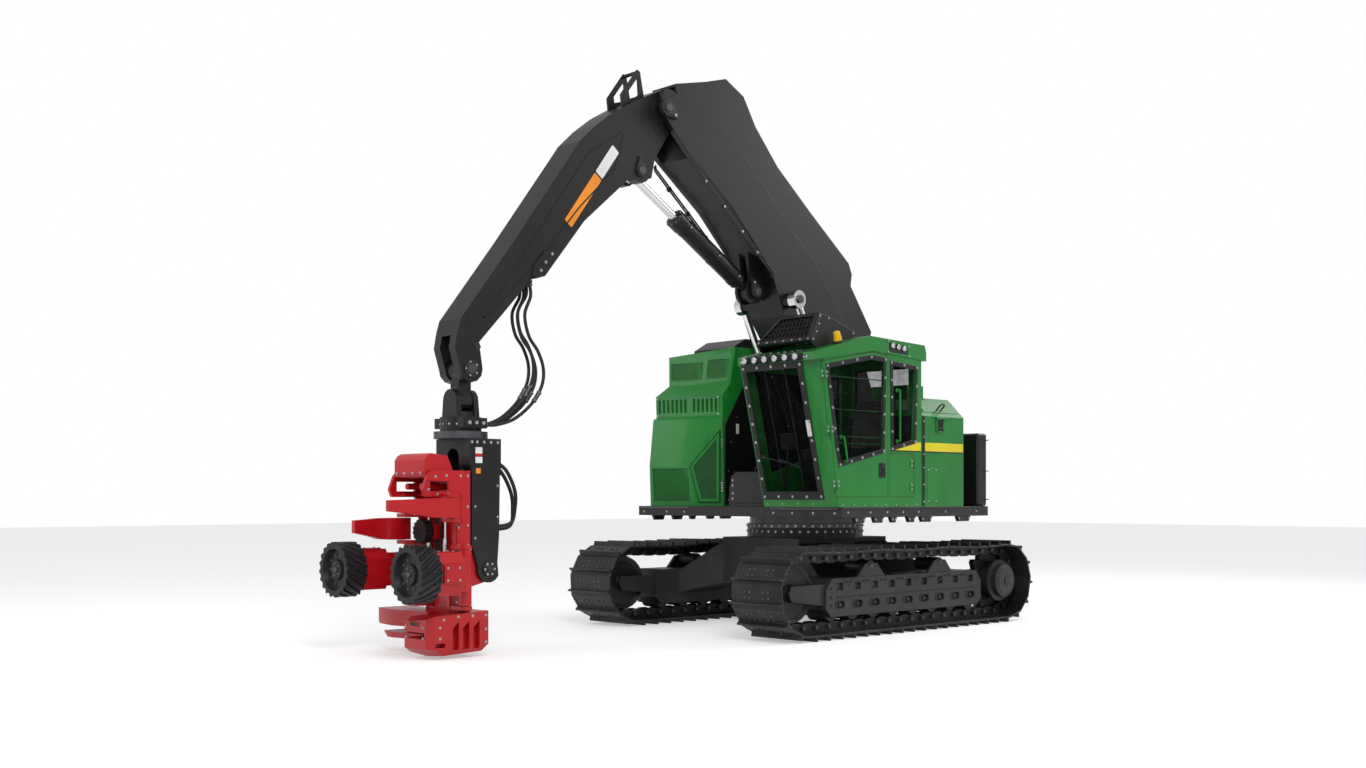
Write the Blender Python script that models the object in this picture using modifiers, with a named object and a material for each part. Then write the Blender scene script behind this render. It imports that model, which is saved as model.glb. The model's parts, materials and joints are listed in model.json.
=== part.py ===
# Tracked forestry harvester: carrier, slewing upper body, boom, stick and felling head.
# Metres, +X forward, +Y left, +Z up, ground at z = 0, slew axis at x = 0 of the machine frame.
import math

import bmesh
import bpy
from mathutils import Matrix, Vector

# Clearances
touch_gap = 0.0003
pin_gap = 0.0009
moving_gap = 0.006

# Tracks
track_gauge = 2.64
shoe_width = 0.70
axle_spread = 3.60
pitch_radius = 0.37
shoe_pitch = 0.203
grouser_reach = 0.12
shoe_seat = 0.055
shoe_plate = 0.018
tooth_reach = 0.065
rail_depth = 0.05
rail_width = 0.045
rail_spread = 0.16
link_notch = 0.018
fork_gap = 0.012
carrier_at = 0.62
track_sag = 0.02

# Track frames
frame_half_width = 0.20
frame_low = 0.225
frame_high = 0.63
drive_mount = 0.055
roller_radius = 0.10
roller_count = 8
carrier_radius = 0.075

# Car body and slew ring
body_half_length = 0.78
body_half_width = 0.60
body_low = 0.50
body_high = 1.02
leg_low = 0.34
race_outer = 0.685
race_inner = 0.50
race_height = 0.11

# Deck
deck_low = 1.27
deck_thick = 0.11
deck_front = 1.22
deck_half_width = 1.60
tail_radius = 2.20
weight_front = -1.50
weight_top = 2.25
girder_plate = 0.045
girder_gap = 0.015

# Boom plane and widths
boom_y = -0.15
boom_half = 0.275
cylinder_offset = 0.43
stick_half = 0.18
fork_room = 0.02

# Pins of the boom, stick and cylinders, x and z in the machine frame
boom_foot = (-1.25, 2.10)
knuckle = (2.36, 5.66)
stick_tip = (4.83, 2.72)
lift_base = (-0.62, 1.64)
lift_pin = (0.46, 3.77)
crowd_base = (0.81, 3.86)
crowd_pin = (2.65, 4.96)

# Cylinders
lift_barrel_radius = 0.08
lift_rod_radius = 0.045
lift_barrel_length = 1.62
crowd_barrel_radius = 0.10
crowd_rod_radius = 0.048
crowd_barrel_length = 1.35
eye_radius = 0.105
eye_half = 0.05

# Cab
cab_right = 0.52
cab_left = 1.60
cab_wall = 0.05
cab_front_low = 1.26
cab_front_high = 1.66
cab_brow = 2.97
cab_rear = -0.17
cab_peak = (0.76, 3.20)
cab_tail = 3.15
door_front = 1.33
door_rear = 0.44
glass_thick = 0.012

# Rear left compartment and right-hand housing
tank_rear = -0.95
tank_high = 2.41
tank_right = 0.42
housing_front = 1.00
housing_rear = -1.20
housing_inner = -0.69
housing_right = -1.60
housing_chamfer = (0.66, -0.98)
housing_step = 2.46
housing_shoulder = 2.74
hood_front = 0.80
hood_high = 3.22
grille_seat = 0.028
sheet = 0.04

# Felling head
link_drop = 0.30
link_half = 0.075
rotor_top = 2.12
hanger_top = 2.05
tilt_pin = (4.70, 0.80)
spine_back = 4.93
spine_front = 5.18
spine_half = 0.34
spine_low = 0.44
spine_high = 1.74
arm_hinge = (5.10, 0.46)
drum_radius = 0.232
drum_root = 0.214
drum_front = 5.85
drum_length = 0.33
drum_offset = 0.63
drum_z = 0.80
knife_hinge = (5.20, 0.43)
knife_levels = {1: (1.20, 1.33), -1: (1.36, 1.49)}
arm_low = 0.56
arm_high = 1.04
saw_hinge = (5.05, 0.40)
saw_reach = 0.82
slot_low = 0.19
slot_high = 0.25

colours = {  # name: red, green, blue, roughness, metallic
    "green": (0.05, 0.20, 0.05, 0.35, 0.0),
    "black": (0.012, 0.012, 0.013, 0.45, 0.0),
    "dark": (0.03, 0.03, 0.032, 0.6, 0.0),
    "red": (0.62, 0.02, 0.025, 0.35, 0.0),
    "track": (0.10, 0.10, 0.105, 0.55, 0.6),
    "steel": (0.30, 0.30, 0.31, 0.4, 0.8),
    "chrome": (0.80, 0.80, 0.82, 0.12, 1.0),
    "glass": (0.45, 0.55, 0.52, 0.05, 0.0),
    "seat": (0.06, 0.06, 0.065, 0.9, 0.0),
    "amber": (0.95, 0.55, 0.02, 0.2, 0.0),
    "lamp": (0.85, 0.85, 0.82, 0.15, 0.2),
}

for old in list(bpy.data.objects):
    bpy.data.objects.remove(old, do_unlink=True)
parts = bpy.data.collections.new("forestry_harvester")
tools = bpy.data.collections.new("cutters")
for group in (parts, tools):
    bpy.context.scene.collection.children.link(group)

machine = bpy.data.objects.new("machine_frame", None)
bpy.context.scene.collection.objects.link(machine)
pivots = {}
counter = {"tool": 0}


def pivot(name, place, parent=None):
    empty = bpy.data.objects.new("pivot_" + name, None)
    bpy.context.scene.collection.objects.link(empty)
    base = pivots[parent][1] if parent else Vector((0.0, 0.0, 0.0))
    empty.parent = pivots[parent][0] if parent else machine
    empty.location = Vector(place) - base
    pivots[name] = (empty, Vector(place))


def finish(obj, colour):
    red, green, blue, rough, metal = colours[colour]
    material = bpy.data.materials.new(obj.name + "_finish")
    material.use_nodes = True
    shader = material.node_tree.nodes["Principled BSDF"]
    shader.inputs["Base Color"].default_value = (red, green, blue, 1.0)
    shader.inputs["Roughness"].default_value = rough
    shader.inputs["Metallic"].default_value = metal
    obj.data.materials.clear()
    obj.data.materials.append(material)


def solid(mesh):
    counter["tool"] += 1
    obj = bpy.data.objects.new("tool_%03d" % counter["tool"], mesh)
    tools.objects.link(obj)
    obj.parent = machine
    obj.hide_render = True
    obj.display_type = "WIRE"
    return obj


def from_bmesh(bm):
    mesh = bpy.data.meshes.new("mesh")
    bm.to_mesh(mesh)
    bm.free()
    return solid(mesh)


def box(low, high):
    bm = bmesh.new()
    bmesh.ops.create_cube(bm, size=1.0)
    size = Vector(high) - Vector(low)
    bmesh.ops.scale(bm, vec=size, verts=bm.verts)
    bmesh.ops.translate(bm, vec=(Vector(high) + Vector(low)) / 2.0, verts=bm.verts)
    return from_bmesh(bm)


def rod(start, end, radius, sides=16):
    start, end = Vector(start), Vector(end)
    bm = bmesh.new()
    bmesh.ops.create_cone(
        bm, cap_ends=True, segments=sides, radius1=radius,
        radius2=radius, depth=(end - start).length)
    turn = Vector((0, 0, 1)).rotation_difference((end - start).normalized())
    bmesh.ops.rotate(bm, matrix=turn.to_matrix(), verts=bm.verts)
    bmesh.ops.translate(bm, vec=(start + end) / 2.0, verts=bm.verts)
    return from_bmesh(bm)


def baked(obj):
    bpy.context.view_layer.update()
    graph = bpy.context.evaluated_depsgraph_get()
    mesh = bpy.data.meshes.new_from_object(obj.evaluated_get(graph))
    place = machine.matrix_world.inverted() @ obj.matrix_world
    bm = bmesh.new()
    bm.from_mesh(mesh)
    bmesh.ops.remove_doubles(bm, verts=bm.verts, dist=0.00001)
    bmesh.ops.transform(bm, matrix=place, verts=bm.verts)
    bmesh.ops.recalc_face_normals(bm, faces=bm.faces)
    bpy.data.objects.remove(obj, do_unlink=True)
    return from_bmesh(bm)


def outline_curve(loops, half_thick):
    curve = bpy.data.curves.new("outline", "CURVE")
    curve.dimensions = "2D"
    curve.fill_mode = "BOTH"
    curve.extrude = half_thick
    for loop in loops:
        spline = curve.splines.new("POLY")
        spline.points.add(len(loop) - 1)
        for point, (across, up) in zip(spline.points, loop):
            point.co = (across, up, 0.0, 1.0)
        spline.use_cyclic_u = True
    obj = bpy.data.objects.new("outline", curve)
    tools.objects.link(obj)
    obj.parent = machine
    return obj


def side_plate(loops, y_low, y_high):
    obj = outline_curve(loops, (y_high - y_low) / 2.0)
    upright = Matrix.Rotation(math.pi / 2, 4, "X")
    obj.matrix_local = Matrix.Translation((0, (y_low + y_high) / 2.0, 0)) @ upright
    return baked(obj)


def floor_plate(loops, z_low, z_high):
    obj = outline_curve(loops, (z_high - z_low) / 2.0)
    obj.location = (0, 0, (z_low + z_high) / 2.0)
    return baked(obj)


def front_plate(loops, x_low, x_high):
    obj = outline_curve(loops, (x_high - x_low) / 2.0)
    turn = Matrix(((0, 0, 1, 0), (1, 0, 0, 0), (0, 1, 0, 0), (0, 0, 0, 1)))
    obj.matrix_local = Matrix.Translation(((x_low + x_high) / 2.0, 0, 0)) @ turn
    return baked(obj)


def turned(profile, place, axis, steps=32):
    bm = bmesh.new()
    corners = [bm.verts.new((radius, 0.0, height)) for radius, height in profile]
    for first, second in zip(corners, corners[1:]):
        bm.edges.new((first, second))
    mesh = bpy.data.meshes.new("profile")
    bm.to_mesh(mesh)
    bm.free()
    obj = bpy.data.objects.new("profile", mesh)
    tools.objects.link(obj)
    obj.parent = machine
    screw = obj.modifiers.new("Screw", "SCREW")
    screw.steps = steps
    screw.render_steps = steps
    screw.use_merge_vertices = True
    screw.merge_threshold = 0.0001
    turn = Vector((0, 0, 1)).rotation_difference(Vector(axis).normalized())
    obj.matrix_local = Matrix.Translation(place) @ turn.to_matrix().to_4x4()
    return baked(obj)


def loft(sections):
    bm = bmesh.new()
    rings = [[bm.verts.new(point) for point in section] for section in sections]
    for near, far in zip(rings, rings[1:]):
        for i in range(len(near)):
            j = (i + 1) % len(near)
            bm.faces.new((near[i], near[j], far[j], far[i]))
    bm.faces.new(rings[0][::-1])
    bm.faces.new(rings[-1])
    bmesh.ops.recalc_face_normals(bm, faces=bm.faces)
    return from_bmesh(bm)


def change(target, operation, others):
    for other in others:
        step = target.modifiers.new(operation.lower(), "BOOLEAN")
        step.operation = operation
        step.solver = "EXACT"
        step.object = other
    return target


def fuse(target, *others):
    return change(target, "UNION", others)


def cut(target, *others):
    return change(target, "DIFFERENCE", others)


def grouped(*others):
    bm = bmesh.new()
    for other in others:
        bm.from_mesh(other.data)
        bpy.data.objects.remove(other, do_unlink=True)
    return from_bmesh(bm)


def part(name, obj, colour, carried_by=None, bevel=0.0):
    tools.objects.unlink(obj)
    parts.objects.link(obj)
    obj.name = name
    obj.data.name = name
    obj.hide_render = False
    obj.display_type = "TEXTURED"
    if carried_by:
        empty, place = pivots[carried_by]
        obj.data.transform(Matrix.Translation(-place))
        obj.parent = empty
    if bevel:
        soft = obj.modifiers.new("Bevel", "BEVEL")
        soft.width = bevel
        soft.segments = 1
        soft.limit_method = "ANGLE"
        soft.angle_limit = math.radians(50)
    finish(obj, colour)
    obj.data.shade_smooth()
    obj.data.set_sharp_from_angle(angle=math.radians(30))
    return obj


def circle(centre, radius, start, end, count):
    turns = [math.radians(start + (end - start) * i / (count - 1)) for i in range(count)]
    return [(centre[0] + radius * math.cos(t), centre[1] + radius * math.sin(t)) for t in turns]


def front_x(z):
    lean = (cab_front_high - cab_front_low) / (cab_brow - deck_low - deck_thick)
    return cab_front_low + lean * (z - deck_low - deck_thick)


def door_edge(z):
    low, high = door_front + 0.02, front_x(2.90) - 0.04
    return low + (high - low) * (z - 1.42) / (2.90 - 1.42) - moving_gap


# Joint axes
pivot("upper", (0, 0, deck_low))
pivot("boom", (boom_foot[0], boom_y, boom_foot[1]), "upper")
pivot("stick", (knuckle[0], boom_y, knuckle[1]), "boom")
pivot("swing_link", (stick_tip[0], boom_y, stick_tip[1]), "stick")
pivot("rotator_box", (stick_tip[0], boom_y, stick_tip[1] - link_drop), "swing_link")
pivot("hanger", (stick_tip[0], boom_y, hanger_top), "rotator_box")
pivot("head", (tilt_pin[0], boom_y, tilt_pin[1]), "hanger")
for side, sign in (("left", 1), ("right", -1)):
    eye_y = boom_y + sign * cylinder_offset
    pivot("lift_barrel_" + side, (lift_base[0], eye_y, lift_base[1]), "upper")
    pivot("lift_rod_" + side, (lift_pin[0], eye_y, lift_pin[1]), "lift_barrel_" + side)
    pivot("feed_arm_" + side, (arm_hinge[0], boom_y + sign * arm_hinge[1], drum_z), "head")
    pivot("drum_" + side, (drum_front, boom_y + sign * drum_offset, drum_z), "feed_arm_" + side)
    knife_z = sum(knife_levels[sign]) / 2.0
    pivot("knife_" + side, (knife_hinge[0], boom_y + sign * knife_hinge[1], knife_z), "head")
pivot("crowd_barrel", (crowd_base[0], boom_y, crowd_base[1]), "boom")
pivot("crowd_rod", (crowd_pin[0], boom_y, crowd_pin[1]), "crowd_barrel")
pivot("cab_door", (door_edge(2.2), cab_left, 2.2), "upper")
pivot("cab_hatch", (cab_rear + 0.05 + moving_gap, cab_left, 1.7), "upper")
pivot("grille_door", (housing_front - 0.02, housing_chamfer[1] + 0.04, 1.9), "upper")
pivot("saw", (saw_hinge[0], boom_y + saw_hinge[1], (slot_low + slot_high) / 2), "head")

# Tracks: the chain's pitch line is sampled once a shoe
wheel_z = pitch_radius + grouser_reach
half_spread = axle_spread / 2.0


def pitch_line():
    line = []
    count = 48
    for i in range(count + 1):
        line.append((-half_spread + axle_spread * i / count, wheel_z - pitch_radius))
    line += circle((half_spread, wheel_z), pitch_radius, -90, 90, count)[1:]
    spans = [half_spread, carrier_at, -carrier_at, -half_spread]
    for first, second in zip(spans, spans[1:]):
        for i in range(1, 17):
            share = i / 16
            drop = 4 * track_sag * share * (1 - share)
            line.append((first + (second - first) * share, wheel_z + pitch_radius - drop))
    line += circle((-half_spread, wheel_z), pitch_radius, 90, 270, count)[1:]
    return line


def sampled(line, step):
    lengths = [math.dist(a, b) for a, b in zip(line, line[1:])]
    count = round(sum(lengths) / step)
    step = sum(lengths) / count
    points, walked, i = [], 0.0, 0
    for k in range(count):
        target = k * step
        while walked + lengths[i] < target:
            walked += lengths[i]
            i += 1
        share = (target - walked) / lengths[i]
        a, b = line[i], line[i + 1]
        points.append((a[0] + (b[0] - a[0]) * share, a[1] + (b[1] - a[1]) * share))
    return points


links = sampled(pitch_line(), shoe_pitch)


def link_frame(i):
    a, b = links[i], links[(i + 1) % len(links)]
    length = math.dist(a, b)
    along = ((b[0] - a[0]) / length, (b[1] - a[1]) / length)
    return a, along, (along[1], -along[0]), length


# Each link gives a cell of the ring: its outer points and its inner points, share along and reach out
def link_ring(outer, inner, y_low, y_high):
    bm = bmesh.new()
    cells = []
    for i in range(len(links)):
        start, along, out, length = link_frame(i)
        before = link_frame(i - 1)[2]
        lean = Vector((out[0] + before[0], out[1] + before[1]))
        lean /= 1 + out[0] * before[0] + out[1] * before[1]
        rows = []
        for steps in (outer, inner):
            row = []
            for share, reach in steps:
                x, z = (start[0] + along[0] * share * length + out[0] * reach,
                        start[1] + along[1] * share * length + out[1] * reach)
                if share == 0.0:
                    x, z = start[0] + lean.x * reach, start[1] + lean.y * reach
                row.append([bm.verts.new((x, y, z)) for y in (y_low, y_high)])
            rows.append(row)
        cells.append(rows)
    for i, (outs, ins) in enumerate(cells):
        next_outs, next_ins = cells[(i + 1) % len(cells)]
        over = outs + [next_outs[0]]
        under = ins + [next_ins[0]]
        for row in (over, under):
            for first, second in zip(row, row[1:]):
                bm.faces.new((first[0], second[0], second[1], first[1]))
        for side in (0, 1):
            loop = over + under[::-1]
            bm.faces.new([corner[side] for corner in loop])
    bmesh.ops.recalc_face_normals(bm, faces=bm.faces)
    return from_bmesh(bm)


def track(name, middle):
    plate = shoe_seat + shoe_plate
    shoe = [(0.0, plate - 0.002), (0.12, plate), (0.17, grouser_reach), (0.26, grouser_reach), (0.31, plate)]
    band = link_ring(shoe, [(0.0, shoe_seat)], middle - shoe_width / 2, middle + shoe_width / 2)
    rails = []
    for sign in (-1, 1):
        edge = middle + sign * rail_spread / 2
        rails.append(link_ring([(0.0, shoe_seat + shoe_plate / 2)],
                               [(0.0, link_notch - rail_depth), (0.3, -rail_depth), (0.7, -rail_depth)],
                               edge - rail_width / 2, edge + rail_width / 2))
    return part(name, fuse(band, *rails), "track")


tread_radius = pitch_radius * math.cos(shoe_pitch / (2 * pitch_radius)) - rail_depth - 2 * touch_gap


def idler(name, middle):
    half = rail_spread / 2 + rail_width / 2
    guide = rail_spread / 2 - rail_width / 2 - 0.012
    hub = half + fork_gap - touch_gap
    profile = [(0, hub), (0.07, hub), (0.10, half - 0.03), (tread_radius - 0.05, half - 0.03),
               (tread_radius, half), (tread_radius, guide), (tread_radius + 0.02, guide - 0.01)]
    profile += [(radius, -height) for radius, height in profile[::-1]]
    wheel = turned(profile, (half_spread, middle, wheel_z), (0, 1, 0), 28)
    return part(name, wheel, "track")


def sprocket(name, middle, side):
    teeth = 2 * round(math.pi * pitch_radius / shoe_pitch) + 1
    loop = []
    for i in range(teeth):
        for share, radius in ((0.0, tread_radius), (0.28, tread_radius + tooth_reach),
                              (0.55, tread_radius + tooth_reach), (0.83, tread_radius)):
            turn = 2 * math.pi * (i + share) / teeth
            loop.append((-half_spread + radius * math.cos(turn), wheel_z + radius * math.sin(turn)))
    gear = side_plate([loop], middle - 0.035, middle + 0.035)
    hub_reach = shoe_width / 2 - 0.05
    hub = turned([(0, 0.0), (0.15, 0.0), (0.20, -0.025), (0.20, -0.09), (0.25, -0.10), (0.25, -0.14),
                  (0.22, -0.15), (0.22, -hub_reach), (0, -hub_reach)],
                 (-half_spread, middle + side * hub_reach, wheel_z), (0, side, 0), 20)
    boss_end = middle - side * (drive_mount - touch_gap)
    boss = rod((-half_spread, middle, wheel_z), (-half_spread, boss_end, wheel_z), 0.16, 20)
    return part(name, fuse(gear, hub, boss), "black")


def track_frame(name, middle, side):
    nose = half_spread - 0.42
    tail = -half_spread + 0.39
    side_view = [(tail, frame_low + 0.08), (tail + 0.08, frame_low), (nose - 0.08, frame_low),
                 (nose, frame_low + 0.08), (nose, frame_high - 0.12), (nose - 0.1, frame_high),
                 (tail + 0.1, frame_high), (tail, frame_high - 0.12)]
    beam = side_plate([side_view], middle - frame_half_width, middle + frame_half_width)
    wheels = []
    for i in range(roller_count):
        x = tail + 0.16 + (nose - tail - 0.32) * i / (roller_count - 1)
        z = wheel_z - pitch_radius + rail_depth + roller_radius + touch_gap
        wheels.append(rod((x, middle - 0.13, z), (x, middle + 0.13, z), roller_radius, 16))
    brackets = []
    top = wheel_z + pitch_radius - rail_depth - 0.008
    for x in (-carrier_at, carrier_at):
        brackets.append(rod((x, middle - side * 0.12, top - carrier_radius),
                            (x, middle + side * 0.18, top - carrier_radius),
                            carrier_radius, 16))
        bridge = [(x - 0.26, frame_high - 0.03), (x + 0.26, frame_high - 0.03), (x + 0.10, top - 0.03),
                  (x - 0.10, top - 0.03)]
        edge = middle + side * 0.17
        brackets.append(side_plate([bridge], edge - 0.02, edge + 0.02))
    forks = []
    for sign in (-1, 1):
        inner = rail_spread / 2 + rail_width / 2 + fork_gap
        low, high = sorted((middle + sign * inner, middle + sign * (inner + 0.05)))
        fork = [(nose - 0.1, 0.33), (half_spread + 0.08, 0.41), (half_spread + 0.12, wheel_z),
                (half_spread + 0.08, 0.57), (nose - 0.1, frame_high - 0.06)]
        forks.append(side_plate([fork], low, high))
    mount = side_plate([[(-half_spread - 0.16, 0.36), (tail + 0.1, 0.30), (tail + 0.1, 0.60),
                         (-half_spread - 0.16, 0.62), (-half_spread - 0.22, wheel_z)]],
                       *sorted((middle - side * drive_mount, middle - side * 0.18)))
    windows = []
    face = middle + side * frame_half_width
    for i in range(9):
        x = tail + 0.22 + (nose - tail - 0.44) * i / 8
        low, high = sorted((face - side * 0.03, face + side * 0.01))
        windows.append(box((x - 0.055, low, 0.50), (x + 0.055, high, 0.58)))
        windows.append(box((x - 0.075, low, 0.31), (x + 0.075, high, 0.39)))
    beam = cut(beam, grouped(*windows))
    return part(name, fuse(beam, grouped(*wheels), *brackets, *forks, mount), "black")


for side, sign in (("left", 1), ("right", -1)):
    middle = sign * track_gauge / 2
    track("track_" + side, middle)
    idler("idler_" + side, middle)
    sprocket("sprocket_" + side, middle, sign)
    track_frame("track_frame_" + side, middle, sign)

# Car body: centre box, four legs to the track frames, lower half of the slew ring
body = box((-body_half_length, -body_half_width, body_low), (body_half_length, body_half_width, body_high))
legs = []
seat_y = track_gauge / 2 - frame_half_width - touch_gap
for sx in (-1, 1):
    for sy in (-1, 1):
        ring = ((0.20, body_low), (0.76, body_low), (0.76, body_high - 0.02), (0.20, body_high - 0.02))
        foot = ((0.36, leg_low), (1.02, leg_low), (1.02, 0.60), (0.36, 0.60))
        legs.append(loft([[(sx * x, sy * (body_half_width - 0.05), z) for x, z in ring],
                          [(sx * x, sy * seat_y, z) for x, z in foot]]))
race_low = rod((0, 0, body_high - 0.01), (0, 0, body_high + race_height), race_outer, 36)
part("car_body", fuse(body, *legs, race_low), "black")

# Upper half of the slew ring
ring_low = body_high + race_height + pin_gap
part("slew_ring", turned([(race_inner, deck_low - touch_gap), (race_outer - 0.03, deck_low - touch_gap),
                          (race_outer - 0.03, ring_low + 0.05), (race_outer, ring_low + 0.05),
                          (race_outer, ring_low), (race_inner, ring_low),
                          (race_inner, deck_low - touch_gap)], (0, 0, 0), (0, 0, 1), 36), "steel", "upper")

# Deck with the boom girders and the lift cylinders' lugs
deck_high = deck_low + deck_thick
swing = circle((0, 0), tail_radius - 0.03, 180 - 45, 180 + 45, 13)
plan = [(deck_front, -deck_half_width), (deck_front, deck_half_width), (-1.44, deck_half_width)]
plan += [(x, y) for x, y in swing if abs(y) < deck_half_width - 0.1] + [(-1.44, -deck_half_width)]
deck = floor_plate([plan], deck_low, deck_high)
girders = []
for sign in (-1, 1):
    low, high = sorted((boom_y + sign * (boom_half + girder_gap),
                        boom_y + sign * (boom_half + girder_gap + girder_plate)))
    cheek = [(-1.46, deck_high - 0.02), (0.55, deck_high - 0.02), (0.30, deck_high + 0.16),
             (lift_base[0] + 0.16, lift_base[1] + 0.10), (lift_base[0] - 0.05, lift_base[1] + 0.24)]
    cheek += circle(boom_foot, 0.19, 20, 170, 7) + [(-1.46, 1.80)]
    girders.append(side_plate([cheek], low, high))
    eye_y = boom_y + sign * cylinder_offset
    outer = eye_y + sign * (eye_half + pin_gap)
    lug = [(lift_base[0] - 0.24, deck_high - 0.02), (lift_base[0] + 0.26, deck_high - 0.02)]
    lug += circle(lift_base, 0.13, -10, 190, 9)
    girders.append(side_plate([lug], *sorted((outer, outer + sign * 0.03))))
    low, high = sorted((boom_y + sign * (boom_half + 0.03), eye_y - sign * (eye_half + pin_gap)))
    girders.append(rod((lift_base[0], low, lift_base[1]), (lift_base[0], high, lift_base[1]), 0.10))
part("deck", fuse(deck, *girders), "black", "upper")

# Counterweight
rim = [(x, y) for x, y in circle((0, 0), tail_radius, 180 - 40, 180 + 40, 13)]
weight_plan = [(weight_front, rim[0][1])] + rim + [(weight_front, rim[-1][1])]
weight = floor_plate([weight_plan], deck_high + touch_gap, weight_top)
part("counterweight", weight, "black", "upper", 0.02)

# Cab shell: side view of the outer skin, then the same inset by the wall
def cab_side(inset):
    low = deck_high + touch_gap + inset
    lean = (cab_front_high - cab_front_low) / (cab_brow - deck_high)
    return [(cab_rear + inset, low), (cab_front_low - inset + lean * inset, low),
            (cab_front_high - inset, cab_brow - inset * 0.4), (cab_peak[0], cab_peak[1] - inset),
            (cab_rear + inset, cab_tail - inset)]


shell = side_plate([cab_side(0.0)], cab_right, cab_left)
hollow = side_plate([cab_side(cab_wall)], cab_right + cab_wall, cab_left - cab_wall)
pane_front = loft([[(front_x(1.62) - 0.3, y, 1.62), (front_x(1.62) + 0.3, y, 1.62),
                    (front_x(2.78) + 0.3, y, 2.78), (front_x(2.78) - 0.3, y, 2.78)]
                   for y in (cab_right + 0.09, cab_left - 0.09)])
door_hole_side = [(door_front - 0.05, 1.46), (front_x(2.86) - 0.10, 2.86), (door_rear + 0.04, 2.86),
                  (door_rear + 0.04, 1.46)]
door_hole = side_plate([door_hole_side], cab_left - cab_wall - 0.05, cab_left + 0.05)
side_pane = [(door_rear - 0.10, 2.90), (cab_rear + 0.10, 2.90), (cab_rear + 0.10, 2.22), (door_rear - 0.10, 2.05)]
left_hole = side_plate([side_pane], cab_left - cab_wall - 0.05, cab_left + 0.05)
right_pane = [(cab_rear + 0.15, 2.86), (front_x(2.86) - 0.16, 2.86), (front_x(1.75) - 0.16, 1.75),
              (cab_rear + 0.15, 2.10)]
right_hole = side_plate([right_pane], cab_right - 0.05, cab_right + cab_wall + 0.05)
hatch_low, hatch_high = 1.46, 1.96
hatch_hole = box((cab_rear + 0.10, cab_left - cab_wall - 0.05, hatch_low + 0.03),
                 (door_rear - 0.10, cab_left + 0.05, hatch_high - 0.03))
rear_hole = box((cab_rear - 0.05, cab_right + 0.14, 2.45), (cab_rear + cab_wall + 0.05, cab_left - 0.14, 2.95))
door_recess = side_plate([[(door_front + 0.02, 1.42), (front_x(2.90) - 0.04, 2.90), (door_rear, 2.90),
                           (door_rear, 1.42)]], cab_left - 0.035, cab_left + 0.05)
hatch_recess = box((cab_rear + 0.05, cab_left - 0.035, hatch_low), (door_rear - 0.05, cab_left + 0.05, hatch_high))
part("cab_shell", cut(shell, hollow, pane_front, door_hole, left_hole, right_hole, hatch_hole, rear_hole,
                      door_recess, hatch_recess), "black", "upper")


def pane(name, obj, carried_by="upper"):
    return part(name, obj, "glass", carried_by)


def slanted(low, high, inset, thick):
    corners = []
    for y in (cab_right + inset, cab_left - inset):
        corners.append([(front_x(low) - thick, y, low), (front_x(low), y, low), (front_x(high), y, high),
                        (front_x(high) - thick, y, high)])
    return loft(corners)


windscreen = slanted(1.62 + touch_gap, 2.78 - touch_gap, 0.09 + touch_gap, glass_thick)
windscreen.location.x = -0.015
pane("windscreen", windscreen)


def shrunk(loop, amount):
    centre = (sum(p[0] for p in loop) / len(loop), sum(p[1] for p in loop) / len(loop))
    return [(x + (amount if x < centre[0] else -amount), z + (amount if z < centre[1] else -amount))
            for x, z in loop]


pane("side_window", side_plate([shrunk(side_pane, touch_gap)], cab_left - 0.03 - glass_thick, cab_left - 0.03))
pane("right_window", side_plate([shrunk(right_pane, touch_gap)], cab_right + 0.02, cab_right + 0.02 + glass_thick))
pane("rear_window", box((cab_rear + 0.02, cab_right + 0.14 + touch_gap, 2.45 + touch_gap),
                        (cab_rear + 0.02 + glass_thick, cab_left - 0.14 - touch_gap, 2.95 - touch_gap)))

# Door and hatch, set in their recesses
door_out = shrunk([(door_front + 0.02, 1.42), (front_x(2.90) - 0.04, 2.90), (door_rear, 2.90),
                   (door_rear, 1.42)], moving_gap)
door_glass = [(front_x(1.80) - 0.14, 1.80), (front_x(2.82) - 0.12, 2.82), (door_rear + 0.08, 2.82),
              (door_rear + 0.08, 1.62)]
part("cab_door", side_plate([door_out, door_glass], cab_left - 0.035 + touch_gap, cab_left), "green", "cab_door")
pane("door_glass", side_plate([shrunk(door_glass, touch_gap)], cab_left - 0.022, cab_left - 0.010), "cab_door")
part("cab_hatch", box((cab_rear + 0.05 + moving_gap, cab_left - 0.035 + touch_gap, hatch_low + moving_gap),
                      (door_rear - 0.05 - moving_gap, cab_left, hatch_high - moving_gap)), "black", "cab_hatch")

# Roof cap, front guard, lamps and beacon
cap_side = [(cab_front_high - 0.10, cab_brow + 0.045), (cab_peak[0], cab_peak[1] + touch_gap),
            (cab_rear, cab_tail + touch_gap), (cab_rear - 0.07, cab_tail - 0.12),
            (cab_rear - 0.03, cab_tail + 0.06), (cab_peak[0], cab_peak[1] + 0.06),
            (cab_front_high - 0.10, cab_brow + 0.10)]
part("cab_roof", side_plate([cap_side], cab_right - 0.01, cab_left + 0.01), "green", "upper")


def roof_top(x):
    slope = (cab_brow + 0.10 - cab_peak[1] - 0.06) / (cab_front_high - 0.10 - cab_peak[0])
    return cab_peak[1] + 0.06 + slope * (x - cab_peak[0])


visor = [(1.50, 3.20), (0.86, 3.38), (0.86, 3.42), (1.53, 3.235)]
cheek_front, cheek_back = 1.46, 0.90
visor_cheek = [(cheek_front, roof_top(cheek_front) + touch_gap), (cheek_front, 3.235), (cheek_back, 3.39),
               (cheek_back, roof_top(cheek_back) + touch_gap)]
visor_cheeks = []
for low in (cab_right + 0.06, cab_left - 0.10):
    visor_cheeks.append(side_plate([visor_cheek], low, low + 0.04))
visor_sheet = side_plate([visor], cab_right + 0.05, cab_left - 0.05)
part("roof_guard", fuse(visor_sheet, *visor_cheeks), "black", "upper")

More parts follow.
